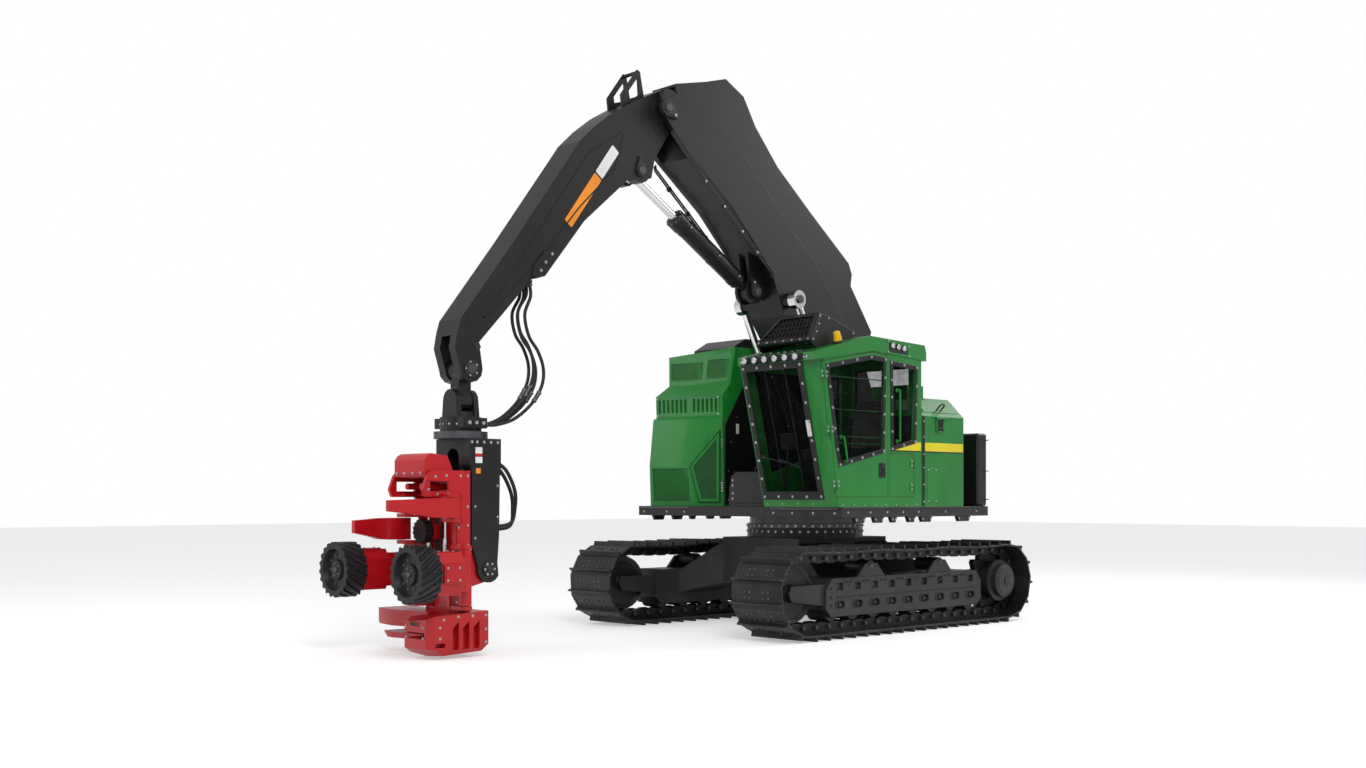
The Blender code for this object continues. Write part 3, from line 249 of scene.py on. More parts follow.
def addNoise(tree, coords, scale, detail=3.0, rough=0.55):
    noise = addNode(tree, "ShaderNodeTexNoise")
    noise.inputs["Scale"].default_value = scale
    noise.inputs["Detail"].default_value = detail
    noise.inputs["Roughness"].default_value = rough
    tree.links.new(coords, noise.inputs["Vector"])
    return noise.outputs["Fac"]


def mapRange(tree, value, low, high, toLow, toHigh):
    node = addNode(tree, "ShaderNodeMapRange")
    for key, number in (("From Min", low), ("From Max", high), ("To Min", toLow), ("To Max", toHigh)):
        node.inputs[key].default_value = number
    tree.links.new(value, node.inputs["Value"])
    return node.outputs["Result"]


def mixColour(tree, factor, first, second, blend="MIX"):
    node = addNode(tree, "ShaderNodeMix", data_type="RGBA", blend_type=blend)
    for socket, value in ((node.inputs[0], factor), (node.inputs[6], first), (node.inputs[7], second)):
        if isinstance(value, (tuple, float)):
            socket.default_value = value
        else:
            tree.links.new(value, socket)
    return node.outputs[2]


def combine(tree, operation, first, second):
    node = addNode(tree, "ShaderNodeMath", operation=operation, use_clamp=True)
    for socket, value in zip(node.inputs, (first, second)):
        if isinstance(value, float):
            socket.default_value = value
        else:
            tree.links.new(value, socket)
    return node.outputs[0]


# Painted or bare metal: cloudy colour, orange peel, rounded edges that wear, and dust low down
def addPaint(name, values):
    material, tree, shader = nodeTree(name)
    coords = addNode(tree, "ShaderNodeTexCoord").outputs["Object"]
    cloud = addNoise(tree, coords, 1.6)
    speckle = addNoise(tree, coords, 34.0, 5.0, 0.65)
    colour = (*values["colour"], 1.0)
    worn = (*values["worn"], 1.0)
    shade = tuple(channel * 0.82 for channel in values["colour"]) + (1.0,)
    base = mixColour(tree, mapRange(tree, cloud, 0.35, 0.65, 0.0, 1.0), shade, colour)
    softEdge = addNode(tree, "ShaderNodeBevel", samples=4)
    softEdge.inputs["Radius"].default_value = values["edge"]
    surface = addNode(tree, "ShaderNodeNewGeometry")
    facing = addNode(tree, "ShaderNodeVectorMath", operation="DOT_PRODUCT")
    tree.links.new(softEdge.outputs[0], facing.inputs[0])
    tree.links.new(surface.outputs["True Normal"], facing.inputs[1])
    edge = mapRange(tree, facing.outputs["Value"], 0.97, 0.80, 0.0, 1.0)
    rubbed = combine(tree, "MULTIPLY", edge, mapRange(tree, speckle, 0.42, 0.60, 0.0, values["wear"]))
    base = mixColour(tree, rubbed, base, worn)
    split = addNode(tree, "ShaderNodeSeparateXYZ")
    tree.links.new(coords, split.inputs[0])
    low = mapRange(tree, split.outputs["Z"], 0.1, 1.6, 1.0, 0.15)
    drift = combine(tree, "MULTIPLY", low, mapRange(tree, cloud, 0.40, 0.75, 0.2, 1.0))
    dust = combine(tree, "MULTIPLY", drift, values["dust"] * 2.0)
    base = mixColour(tree, dust, base, dustColour)
    tree.links.new(base, shader.inputs["Base Color"])
    rough = values["rough"]
    patchy = mapRange(tree, speckle, 0.3, 0.7, rough - 0.06, rough + 0.10)
    tree.links.new(combine(tree, "ADD", patchy, dust), shader.inputs["Roughness"])
    peel = addNode(tree, "ShaderNodeBump")
    peel.inputs["Strength"].default_value = 0.10 if values.get("metal", 0.0) < 0.5 else 0.22
    peel.inputs["Distance"].default_value = 0.002
    tree.links.new(addNoise(tree, coords, 120.0, 2.0), peel.inputs["Height"])
    tree.links.new(softEdge.outputs[0], peel.inputs["Normal"])
    tree.links.new(peel.outputs[0], shader.inputs["Normal"])
    shader.inputs["Metallic"].default_value = values.get("metal", 0.0)
    shader.inputs["Coat Weight"].default_value = values["coat"]
    shader.inputs["Coat Roughness"].default_value = 0.08
    shader.inputs["Specular IOR Level"].default_value = 0.30
    finishes[name] = material


for paintName, paintValues in paints.items():
    addPaint(paintName, paintValues)

glassKinds = {
    # name: tint, share that is solid, roughness, shine, slot
    "windowGlass": {"tint": (0.006, 0.008, 0.0075, 1.0), "solid": (0.22, 0.36), "rough": 0.04, "shine": 0.0,
                    "slot": "window_glass"},
    "lampGlass": {"tint": (0.80, 0.82, 0.82, 1.0), "solid": (0.22, 0.34), "rough": 0.05, "shine": 0.2,
                  "slot": "window_glass"},
    "amberGlass": {"tint": (0.90, 0.52, 0.01, 1.0), "solid": (0.86, 0.96), "rough": 0.12, "shine": 0.3,
                   "slot": "window_glass"},
}


# Glass seen straight through, denser where it is seen edge-on, with cloudy smears
def addGlass(name, values):
    material, tree, shader = nodeTree(name)
    coords = addNode(tree, "ShaderNodeTexCoord").outputs["Object"]
    smear = addNoise(tree, coords, 6.0, 5.0, 0.6)
    facing = addNode(tree, "ShaderNodeLayerWeight")
    facing.inputs["Blend"].default_value = 0.35
    low, high = values["solid"]
    solid = combine(tree, "ADD", mapRange(tree, smear, 0.35, 0.70, low, high),
                    mapRange(tree, facing.outputs["Facing"], 0.30, 1.0, 0.0, 0.45))
    tree.links.new(solid, shader.inputs["Alpha"])
    dim = tuple(channel * 0.8 for channel in values["tint"][:3]) + (1.0,)
    tree.links.new(mixColour(tree, smear, dim, values["tint"]), shader.inputs["Base Color"])
    rough = values["rough"]
    tree.links.new(mapRange(tree, smear, 0.4, 0.7, rough, rough + 0.06), shader.inputs["Roughness"])
    shader.inputs["Specular IOR Level"].default_value = values["shine"]
    finishes[name] = material


for glassName, glassValues in glassKinds.items():
    addGlass(glassName, glassValues)

clothValues = {"thread": 420.0, "dark": (0.018, 0.018, 0.02, 1.0), "pale": (0.06, 0.06, 0.065, 1.0)}


# Woven seat cloth: two crossed threads over a soft cloud
def addCloth(name, values):
    material, tree, shader = nodeTree(name)
    coords = addNode(tree, "ShaderNodeTexCoord").outputs["Object"]
    cloud = addNoise(tree, coords, 9.0, 4.0)
    weave = None
    for axis in ("X", "Y", "Z"):
        wave = addNode(tree, "ShaderNodeTexWave", bands_direction=axis)
        wave.inputs["Scale"].default_value = values["thread"] / 6.28
        tree.links.new(coords, wave.inputs["Vector"])
        weave = wave.outputs["Fac"] if weave is None else combine(tree, "MULTIPLY", weave,
                                                                  wave.outputs["Fac"])
    colour = mixColour(tree, cloud, values["dark"], values["pale"])
    tree.links.new(mixColour(tree, combine(tree, "MULTIPLY", weave, 0.5), colour, values["pale"]),
                   shader.inputs["Base Color"])
    bump = addNode(tree, "ShaderNodeBump")
    bump.inputs["Strength"].default_value = 0.35
    bump.inputs["Distance"].default_value = 0.001
    tree.links.new(weave, bump.inputs["Height"])
    tree.links.new(bump.outputs[0], shader.inputs["Normal"])
    shader.inputs["Roughness"].default_value = 0.85
    shader.inputs["Sheen Weight"].default_value = 0.3
    finishes[name] = material


addCloth("seatCloth", clothValues)

nodeFinishes = {
    "greenPaint": ["cab_shell", "cab_hatch", "cab_door", "cab_roof", "left_compartment", "engine_housing",
                   "grille_door"],
    "blackPaint": ["boom", "boom_hose_guard", "stick", "swing_link", "rotator_box", "hanger",
                   "lift_barrel_left", "lift_barrel_right", "crowd_barrel", "counterweight", "roof_guard"],
    "greyPaint": ["track_frame_left", "track_frame_right", "car_body", "deck", "sprocket_left",
                  "sprocket_right"],
    "redPaint": ["head_frame", "saw_box", "feed_arm_left", "feed_arm_right", "knife_left", "knife_right"],
    "trackSteel": ["track_left", "track_right", "idler_left", "idler_right"],
    "darkSteel": ["slew_ring", "engine_block", "rotator", "saw_bar"],
    "drumSteel": ["feed_drum_left", "feed_drum_right"],
    "chrome": ["lift_rod_left", "lift_rod_right", "crowd_rod"],
    "windowGlass": ["windscreen", "side_window", "right_window", "rear_window", "door_glass"],
    "darkPlastic": ["seat_base", "control_consoles"],
    "seatCloth": ["operator_seat"],
}
for finishName, nodeNames in nodeFinishes.items():
    for nodeName in nodeNames:
        nodes[nodeName].data.materials.clear()
        nodes[nodeName].data.materials.append(finishes[finishName])
print("stage: finishes")

# Mesh tools: everything is built in machine places and set down round the slew axis
def addPiece(name, bm, finish, body, sharp=32.0):
    mesh = bpy.data.meshes.new(name)
    bmesh.ops.translate(bm, vec=slewAxis, verts=bm.verts)
    bmesh.ops.recalc_face_normals(bm, faces=bm.faces)
    bm.to_mesh(mesh)
    bm.free()
    mesh.shade_smooth()
    mesh.set_sharp_from_angle(angle=math.radians(sharp))
    piece = bpy.data.objects.new(name, mesh)
    bpy.context.scene.collection.objects.link(piece)
    mesh.materials.append(finishes[finish])
    if isinstance(body, str):
        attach(piece, body)
    else:
        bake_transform(piece)
    return piece


# A panel is an origin, two directions along it and its outward side
def panel(origin, across, up, out):
    return Vector(origin), Vector(across), Vector(up), Vector(out).normalized()


def on(sheet, u, v, lift=0.0):
    origin, across, up, out = sheet
    return origin + across * u + up * v + out * lift


def sideFace(y, side=1):
    return panel((0, y, 0), (1, 0, 0), (0, 0, 1), (0, side, 0))


def frontFace(x, side=1):
    return panel((x, 0, 0), (0, 1, 0), (0, 0, 1), (side, 0, 0))


def topFace(z):
    return panel((0, 0, z), (1, 0, 0), (0, 1, 0), (0, 0, 1))


def rect(left, low, right, high):
    return [(left, low), (right, low), (right, high), (left, high)]


def arc(centre, radius, start, end, count):
    turns = [math.radians(start + (end - start) * i / (count - 1)) for i in range(count)]
    return [(centre[0] + radius * math.cos(turn), centre[1] + radius * math.sin(turn)) for turn in turns]


def turnTo(out):
    return Vector((0, 0, 1)).rotation_difference(Vector(out).normalized()).to_matrix().to_4x4()


def addDisc(bm, spot, out, radius, low, high, sides=12, taper=1.0):
    out = Vector(out).normalized()
    matrix = Matrix.Translation(Vector(spot) + out * (low + high) / 2) @ turnTo(out)
    bmesh.ops.create_cone(bm, cap_ends=True, segments=sides, radius1=radius, radius2=radius * taper,
                          depth=high - low, matrix=matrix)


def addBolt(bm, spot, out, size):
    addDisc(bm, spot, out, size * 1.5, 0.0, size * 0.28, 12)
    addDisc(bm, spot, out, size, size * 0.28, size * 1.0, 6)
    addDisc(bm, spot, out, size * 0.86, size * 1.0, size * 1.14, 6, 0.72)


def addBoltOn(bm, sheet, u, v, lift, size):
    addBolt(bm, on(sheet, u, v, lift), sheet[3], size)


def addBolts(bm, sheet, spots, lift, size):
    for u, v in spots:
        addBoltOn(bm, sheet, u, v, lift, size)


def addBoltCircle(bm, sheet, middle, radius, count, lift, size, shift=0.0):
    for k in range(count):
        turn = 2 * math.pi * (k + shift) / count
        addBoltOn(bm, sheet, middle[0] + radius * math.cos(turn), middle[1] + radius * math.sin(turn), lift,
                  size)


# Bolts that stand out all round an upright drum
def addBoltRing(bm, middle, radius, count, size, shift=0.0):
    for k in range(count):
        turn = 2 * math.pi * (k + shift) / count
        out = Vector((math.cos(turn), math.sin(turn), 0))
        addBolt(bm, Vector(middle) + out * radius, out, size)


def addLoft(bm, rings, closed=False):
    rows = [[bm.verts.new(point) for point in ring] for ring in rings]
    pairs = list(zip(rows, rows[1:]))
    if closed:
        pairs.append((rows[-1], rows[0]))
    for first, second in pairs:
        for i in range(len(first)):
            j = (i + 1) % len(first)
            bm.faces.new((first[i], first[j], second[j], second[i]))
    if not closed:
        bm.faces.new(rows[0])
        bm.faces.new(rows[-1][::-1])


def shrunk(loop, amount):
    points = [Vector(point) for point in loop]
    area = sum(a.x * b.y - b.x * a.y for a, b in zip(points, points[1:] + points[:1]))
    sense = 1.0 if area > 0 else -1.0
    moved = []
    for before, here, after in zip(points[-1:] + points[:-1], points, points[1:] + points[:1]):
        first = (here - before).normalized()
        second = (after - here).normalized()
        inward = Vector((-first.y - second.y, first.x + second.x)) * sense
        moved.append(here + inward * amount / (1 + first.dot(second)))
    return moved


def addPlate(bm, sheet, loop, low, high, chamfer=0.002):
    rings = [[on(sheet, u, v, low) for u, v in loop], [on(sheet, u, v, high - chamfer) for u, v in loop],
             [on(sheet, u, v, high) for u, v in shrunk(loop, chamfer)]]
    addLoft(bm, rings)


def addFrame(bm, sheet, outer, inner, low, high, chamfer=0.002):
    rings = []
    for loop, lift in ((outer, low), (outer, high - chamfer), (shrunk(outer, chamfer), high),
                       (shrunk(inner, -chamfer), high), (inner, high - chamfer), (inner, low)):
        rings.append([on(sheet, u, v, lift) for u, v in loop])
    addLoft(bm, rings, closed=True)


# Round bends between straight runs
def rounded(loop, radius, steps=4, closed=True):
    points = [Vector(point) for point in loop]
    bent = []
    for i, here in enumerate(points):
        if not closed and i in (0, len(points) - 1):
            bent.append(here)
            continue
        before, after = points[i - 1], points[(i + 1) % len(points)]
        reach = min(radius, (before - here).length * 0.45, (after - here).length * 0.45)
        start = here + (before - here).normalized() * reach
        end = here + (after - here).normalized() * reach
        for k in range(steps + 1):
            share = k / steps
            bent.append(start.lerp(here, share).lerp(here.lerp(end, share), share))
    return bent


def addTube(bm, points, radius, sides=10, radii=None):
    points = [Vector(point) for point in points]
    side = (points[1] - points[0]).orthogonal().normalized()
    rings = []
    for i, here in enumerate(points):
        ahead = points[min(i + 1, len(points) - 1)] - points[max(i - 1, 0)]
        ahead.normalize()
        side = (side - ahead * side.dot(ahead)).normalized()
        other = ahead.cross(side)
        reach = radii[i] if radii else radius
        rings.append([here + (side * math.cos(turn) + other * math.sin(turn)) * reach
                      for turn in [2 * math.pi * k / sides for k in range(sides)]])
    addLoft(bm, rings)


def spread(start, end, count):
    start, end = Vector(start), Vector(end)
    return [start.lerp(end, i / (count - 1)) for i in range(count)]


# Bolts at even steps round a closed or open line
def addBoltRow(bm, sheet, line, step, size, lift=0.0, closed=True):
    corners = [Vector(point) for point in line]
    ends = corners[1:] + corners[:1] if closed else corners[1:]
    for start, end in zip(corners, ends):
        count = max(1, round((end - start).length / step))
        for i in range(count):
            u, v = start.lerp(end, i / count)
            addBolt(bm, on(sheet, u, v, lift), sheet[3], size)
    if not closed:
        addBolt(bm, on(sheet, *corners[-1], lift), sheet[3], size)


# Crossed bars clipped to an outline, for woven or punched screens
def addScreen(bm, sheet, loop, pitch, width, depth, angles=(0.0, 90.0), lift=0.0):
    points = [Vector(point) for point in loop]
    for angle in angles:
        along = Vector((math.cos(math.radians(angle)), math.sin(math.radians(angle))))
        aside = Vector((-along.y, along.x))
        heights = [point.dot(aside) for point in points]
        level = math.floor(min(heights) / pitch) * pitch + pitch / 2
        while level < max(heights):
            hits = []
            for first, second in zip(points, points[1:] + points[:1]):
                a, b = first.dot(aside) - level, second.dot(aside) - level
                if (a < 0) != (b < 0):
                    hits.append((first + (second - first) * a / (a - b)).dot(along))
            hits.sort()
            for near, far in zip(hits[::2], hits[1::2]):
                rings = []
                for reach in (near, far):
                    middle = along * reach + aside * level
                    rings.append([on(sheet, *(middle + aside * sideways), lift + out) for sideways, out in
                                  ((-width / 2, 0.0), (width / 2, 0.0), (width / 2, depth),
                                   (-width / 2, depth))])
                addLoft(bm, rings)
            level += pitch

# Solid forms: outlines and lofts, joined and cut, then set down for the nodes that they refine
def asForm(bm):
    bmesh.ops.recalc_face_normals(bm, faces=bm.faces)
    mesh = bpy.data.meshes.new("form")
    bm.to_mesh(mesh)
    bm.free()
    form = bpy.data.objects.new("form", mesh)
    bpy.context.scene.collection.objects.link(form)
    return form


def settled(obj, matrix=None):
    bpy.context.view_layer.update()
    mesh = bpy.data.meshes.new_from_object(obj.evaluated_get(bpy.context.evaluated_depsgraph_get()))
    bm = bmesh.new()
    bm.from_mesh(mesh)
    bmesh.ops.remove_doubles(bm, verts=bm.verts, dist=0.00001)
    if matrix:
        bmesh.ops.transform(bm, matrix=matrix, verts=bm.verts)
    bpy.data.objects.remove(obj, do_unlink=True)
    return asForm(bm)


def cutOut(loops, low, high, matrix):
    curve = bpy.data.curves.new("outline", "CURVE")
    curve.dimensions = "2D"
    curve.fill_mode = "BOTH"
    curve.extrude = (high - low) / 2
    for loop in loops:
        spline = curve.splines.new("POLY")
        spline.points.add(len(loop) - 1)
        for point, (across, up) in zip(spline.points, loop):
            point.co = (across, up, 0.0, 1.0)
        spline.use_cyclic_u = True
    obj = bpy.data.objects.new("outline", curve)
    bpy.context.scene.collection.objects.link(obj)
    return settled(obj, matrix)


def sideForm(loops, low, high):
    turn = Matrix.Rotation(math.pi / 2, 4, "X")
    return cutOut(loops, low, high, Matrix.Translation((0, (low + high) / 2, 0)) @ turn)


def flankForm(loops, y, side, near, far):
    return sideForm(loops, *sorted((y + side * near, y + side * far)))


def floorForm(loops, low, high):
    return cutOut(loops, low, high, Matrix.Translation((0, 0, (low + high) / 2)))


def frontForm(loops, low, high):
    turn = Matrix(((0, 0, 1, 0), (1, 0, 0, 0), (0, 1, 0, 0), (0, 0, 0, 1)))
    return cutOut(loops, low, high, Matrix.Translation(((low + high) / 2, 0, 0)) @ turn)


def blockForm(low, high):
    return floorForm([rect(low[0], low[1], high[0], high[1])], low[2], high[2])


def loftForm(rings):
    bm = bmesh.new()
    addLoft(bm, rings)
    return asForm(bm)


def rodForm(start, end, radius, sides=24):
    bm = bmesh.new()
    start, end = Vector(start), Vector(end)
    addDisc(bm, start, end - start, radius, 0.0, (end - start).length, sides)
    return asForm(bm)


def turnedForm(profile, spot, out, steps=28):
    bm = bmesh.new()
    rings = []
    for k in range(steps):
        turn = 2 * math.pi * k / steps
        rings.append([(max(radius, 0.0004) * math.cos(turn), max(radius, 0.0004) * math.sin(turn), height)
                      for radius, height in profile])
    addLoft(bm, rings, closed=True)
    bmesh.ops.transform(bm, matrix=Matrix.Translation(spot) @ turnTo(out), verts=bm.verts)
    return asForm(bm)


def changed(target, operation, others):
    for other in others:
        step = target.modifiers.new("step", "BOOLEAN")
        step.operation = operation
        step.solver = "EXACT"
        step.object = other
    result = settled(target)
    for other in others:
        bpy.data.objects.remove(other, do_unlink=True)
    return result


def fused(target, *others):
    return changed(target, "UNION", others)


def carved(target, *others):
    return changed(target, "DIFFERENCE", others)


def gathered(*others):
    bm = bmesh.new()
    for other in others:
        bm.from_mesh(other.data)
        bpy.data.objects.remove(other, do_unlink=True)
    return asForm(bm)


def addForm(name, form, finish, body, *stoodFor):
    bm = bmesh.new()
    bm.from_mesh(form.data)
    bpy.data.objects.remove(form, do_unlink=True)
    piece = addPiece(name, bm, finish, body)
    if stoodFor:
        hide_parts(*stoodFor)
    return piece


# Cab: shell with its cut corner, windows, door, hatch, lid, lamps, guard and beacon
cabForm = {"right": 0.52, "left": 1.60, "wall": 0.05, "low": 1.3803, "frontLow": 1.26, "frontHigh": 1.66,
           "brow": 2.97, "rear": -0.15, "peak": (0.765, 3.20), "tail": 3.15, "pillar": 0.18, "sill": 1.38,
           "doorThick": 0.035, "glass": 0.012, "gap": 0.003, "moving": 0.006, "lid": 0.022, "skirt": 0.010,
           "doorPane": [(1.445, 2.851), (0.737, 2.984), (0.510, 2.972), (0.538, 1.999), (1.246, 1.844),
                        (1.286, 1.991)],
           "sidePane": [(0.380, 2.945), (-0.050, 2.916), (-0.020, 2.113), (0.365, 2.030)]}
screenLean = (cabForm["frontHigh"] - cabForm["frontLow"]) / (cabForm["brow"] - cabForm["sill"])


def frontX(z):
    return cabForm["frontLow"] + screenLean * (z - cabForm["sill"])


def doorEdgeX(z):
    return 1.292 + 0.168 * (z - 1.486)


def cabSide(inset):
    c = cabForm
    return [(c["rear"] + inset, c["low"] + inset), (c["frontLow"] - inset + screenLean * inset,
                                                    c["low"] + inset),
            (c["frontHigh"] - inset, c["brow"] - inset * 0.4), (c["peak"][0], c["peak"][1] - inset),
            (c["rear"] + inset, c["tail"] - inset)]


def cornerForm(inset):
    rings, start = [], 1.88
    while frontX(start) > doorEdgeX(start) + 0.016:
        start -= 0.01
    for z in (start, cabForm["brow"] + 0.4):
        near = Vector((frontX(z) - inset, cabForm["left"] - cabForm["pillar"], z))
        far = Vector((doorEdgeX(z) + 0.012 - inset, cabForm["left"], z))
        spare = (far - near) * 0.4
        rings.append([near - spare, far + spare, (frontX(z) + 0.4, cabForm["left"], z)])
    return loftForm(rings)


def screenForm(gap, back, front):
    rings = []
    right, left = cabForm["right"] + 0.06 + gap, cabForm["left"] - 0.24 - gap
    for z in (1.53 + gap, cabForm["brow"] - 0.11 - gap):
        x = frontX(z)
        rings.append([(x - back, right, z), (x - back, left, z), (x + front, left, z), (x + front, right, z)])
    return loftForm(rings)


def addCabForms():
    c = cabForm
    right, left, gap = c["right"], c["left"], c["gap"]
    doorOut = [(1.292, 1.486), (doorEdgeX(2.906), 2.906), (0.71, 3.056), (0.445, 3.032), (0.445, 1.486)]
    doorPane, sidePane = c["doorPane"], c["sidePane"]
    rightPane = [(0.0, 2.87), (frontX(2.86) - 0.16, 2.86), (frontX(1.75) - 0.16, 1.75), (0.0, 2.10)]
    hatchOut = rect(-0.02, 1.486, 0.423, 1.965)
    inner = left - c["wall"] - 0.05
    shell = sideForm([cabSide(0.0)], right, left)
    hollow = carved(sideForm([cabSide(c["wall"])], right + c["wall"], left - c["wall"]),
                    cornerForm(c["wall"]))
    holes = [screenForm(0.0, 0.3, 0.3), sideForm([shrunk(doorOut, 0.05)], inner, left + 0.05),
             sideForm([sidePane], inner, left + 0.05), sideForm([rightPane], right - 0.05,
                                                                right + c["wall"] + 0.05),
             sideForm([shrunk(hatchOut, 0.03)], inner, left + 0.05),
             blockForm((c["rear"] - 0.05, 0.66, 2.45), (c["rear"] + c["wall"] + 0.05, 1.46, 2.95)),
             sideForm([doorOut], left - c["doorThick"], left + 0.05),
             sideForm([hatchOut], left - c["doorThick"], left + 0.05)]
    addForm("cabShell", carved(shell, hollow, cornerForm(0.0), *holes), "greenPaint", "upper", "cab_shell")
    addForm("screenPane", screenForm(gap, 0.015 + c["glass"], -0.015), "windowGlass", "upper", "windscreen")
    addForm("sidePane", sideForm([shrunk(sidePane, gap)], left - 0.042, left - 0.030), "windowGlass", "upper",
            "side_window")
    addForm("rightPane", sideForm([shrunk(rightPane, gap)], right + 0.02, right + 0.032), "windowGlass",
            "upper",
            "right_window")
    addForm("rearPane", blockForm((c["rear"] + 0.02, 0.663, 2.453), (c["rear"] + 0.032, 1.457, 2.947)),
            "windowGlass", "upper", "rear_window")
    addForm("cabDoor", sideForm([shrunk(doorOut, c["moving"]), doorPane], left - c["doorThick"] + 0.002,
                                left),
            "greenPaint", "cab_door", "cab_door")
    addForm("doorPane", sideForm([shrunk(doorPane, gap)], left - 0.022, left - 0.010), "windowGlass",
            "cab_door",
            "door_glass")
    addForm("cabHatch", sideForm([shrunk(hatchOut, c["moving"])], left - c["doorThick"] + 0.002, left),
            "greenPaint",
            "cab_hatch", "cab_hatch")
    skirt, brow, peak, tail, rear = c["skirt"], c["brow"], c["peak"], c["tail"], c["rear"]
    lidTop = [(c["frontHigh"] + skirt, brow + c["lid"]), (peak[0], peak[1] + c["lid"]),
              (rear - 0.05, tail + 0.036),
              (rear - 0.08, tail - 0.05)]
    lidSide = [(c["frontHigh"] + skirt, brow - 0.06), (peak[0] - 0.055, brow + 0.096),
               (rear - 0.08, brow + 0.041)]
    lidRoom = [(c["frontHigh"] + 0.001, brow - 0.3), (c["frontHigh"] + 0.001, brow + 0.001),
               (peak[0], peak[1] + 0.001), (rear - 0.001, tail + 0.001), (rear - 0.001, brow - 0.3)]
    recess = [(0.44, brow + 0.10), (0.44, brow + 0.20), (0.10, brow + 0.17), (0.10, brow + 0.085)]
    lid = carved(sideForm([lidSide + lidTop[::-1]], right - skirt, left + skirt),
                 sideForm([lidRoom], right - 0.001, left + 0.001),
                 sideForm([recess], left + skirt - 0.006, left + 0.05))
    addForm("cabLid", lid, "greenPaint", "upper", "cab_roof")
    bar = fused(blockForm((1.672, right + 0.08, 2.915), (1.684, left - 0.15, 2.985)),
                gathered(*[rodForm((1.678, y, 2.95), (1.717, y, 2.95), 0.042)
                           for y in [0.66 + 0.146 * i for i in range(6)]]))
    addForm("browLamps", bar, "darkPlastic", "upper")

    def lidHigh(x):
        return peak[1] + 0.022 + (brow - peak[1]) * (x - peak[0]) / (c["frontHigh"] + skirt - peak[0])

    guardSide = [(1.40, lidHigh(1.40)), (1.50, lidHigh(1.50) + 0.098), (1.36, 3.44), (1.19, 3.41),
                 (peak[0] + 0.01, lidHigh(peak[0]) + 0.06), (peak[0] + 0.01, lidHigh(peak[0] + 0.01))]

    def guardBody(inset, lift):
        rings = []
        for side in (0, 1):
            ring = []
            for x, z in shrunk(guardSide, inset):
                span = (0.84, 1.40) if z > brow + 0.3 else (0.62, 1.40)
                ring.append((x, span[side] + (1 - 2 * side) * inset, z + lift))
            rings.append(ring)
        return loftForm(rings)

    holes = []
    for x, z, span in ((1.48, brow + 0.20, 0.62), (1.385, brow + 0.43, 0.84)):
        holes.append([(x - 0.10, span + 0.05, z), (x - 0.10, 1.35, z), (x + 0.15, 1.35, z + 0.03),
                      (x + 0.15, span + 0.05, z + 0.03)])
    addForm("roofGuard", carved(guardBody(0.0, 0.001), guardBody(0.022, -0.03), loftForm(holes)),
            "blackPaint",
            "upper", "roof_guard")
    tilt = Vector((0.2535, 0, 1)).normalized()
    foot = Vector((1.15, 1.49, lidHigh(1.15))) + tilt * 0.001
    addForm("beaconFoot", turnedForm([(0, 0.022), (0.050, 0.022), (0.058, 0.016), (0.060, 0.0), (0, 0.0)],
                                     foot, tilt),
            "darkPlastic", "upper")
    addForm("beaconLens", turnedForm([(0, 0.130), (0.020, 0.128), (0.036, 0.118), (0.044, 0.060),
                                      (0.046, 0.023),
                                      (0, 0.023)], foot, tilt), "amberGlass", "upper")


addCabForms()
print("stage: cab forms")

# Compartment behind the cab, box beside it, and the right-hand housing
housingRows = [
    # height, outer front, chamfer width, inner front, side inset, outer fall
    (1.3803, 1.026, 0.327, 0.680, 0.000, 0.000), (1.87, 1.045, 0.442, 0.680, 0.000, 0.000),
    (2.43, 0.982, 0.030, 0.700, 0.000, 0.000), (2.45, 0.940, 0.030, 0.695, 0.010, 0.000),
    (2.71, 0.949, 0.030, 0.700, 0.010, 0.000), (2.85, 0.758, 0.030, 0.563, 0.045, 0.000),
    (3.295, 0.765, 0.030, 0.482, 0.050, 0.090),
]
housingScreens = [(-1.55, -1.05, 1.44, 1.83), (-1.52, -1.12, 2.93, 3.12), (-1.02, -0.76, 2.93, 3.15)]
housingEdges = {"inner": -0.69, "right": -1.60, "rear": -1.20, "sheet": 0.04}
chamferAlong = Vector((0.565, -0.825, 0)).normalized()
chamferOut = Vector((0.825, 0.565, 0)).normalized()
chamferCorner = Vector((0.680, -0.69, 0))
grilleOutline = [(0.045, 1.43), (0.29, 1.43), (0.40, 1.86), (0.045, 2.27)]


def housingRing(row, inset=0.0, lift=0.0):
    height, outer, width, inner, edge, fall = row
    e = housingEdges
    corner = Vector((inner - inset, e["inner"] - inset, height + lift))
    bend = corner + chamferAlong * width
    right = e["right"] + edge + inset
    bend.z -= fall * (bend.y - e["inner"]) / (e["right"] - e["inner"])
    low = height + lift - fall
    return [(outer - inset, right, low), bend, corner, (e["rear"] + inset, e["inner"] - inset, height + lift),
            (e["rear"] + inset, right, low)]


def housingFront(y, z):
    for low, high in zip(housingRows, housingRows[1:]):
        if z <= high[0]:
            break
    share = (z - low[0]) / (high[0] - low[0])
    outer, width, inner, edge = [a + (b - a) * share for a, b in zip(low[1:5], high[1:5])]
    bend = Vector((inner, housingEdges["inner"], 0)) + chamferAlong * width
    start = housingEdges["right"] + edge
    return outer + (bend.x - outer) * (y - start) / (bend.y - start)


def pocketForm(right, left, low, high, depth):
    rings = []
    for z in (low, high):
        first, last = housingFront(right, z), housingFront(left, z)
        rings.append([(first - depth, right, z), (last - depth, left, z), (last + 0.1, left, z),
                      (first + 0.1, right, z)])
    return loftForm(rings)


def grilleForm(margin, back, front):
    rings = []
    for reach in (back, front):
        rings.append([chamferCorner + chamferAlong * along + chamferOut * reach + Vector((0, 0, z))
                      for along, z in shrunk(grilleOutline, -margin)])
    return loftForm(rings)


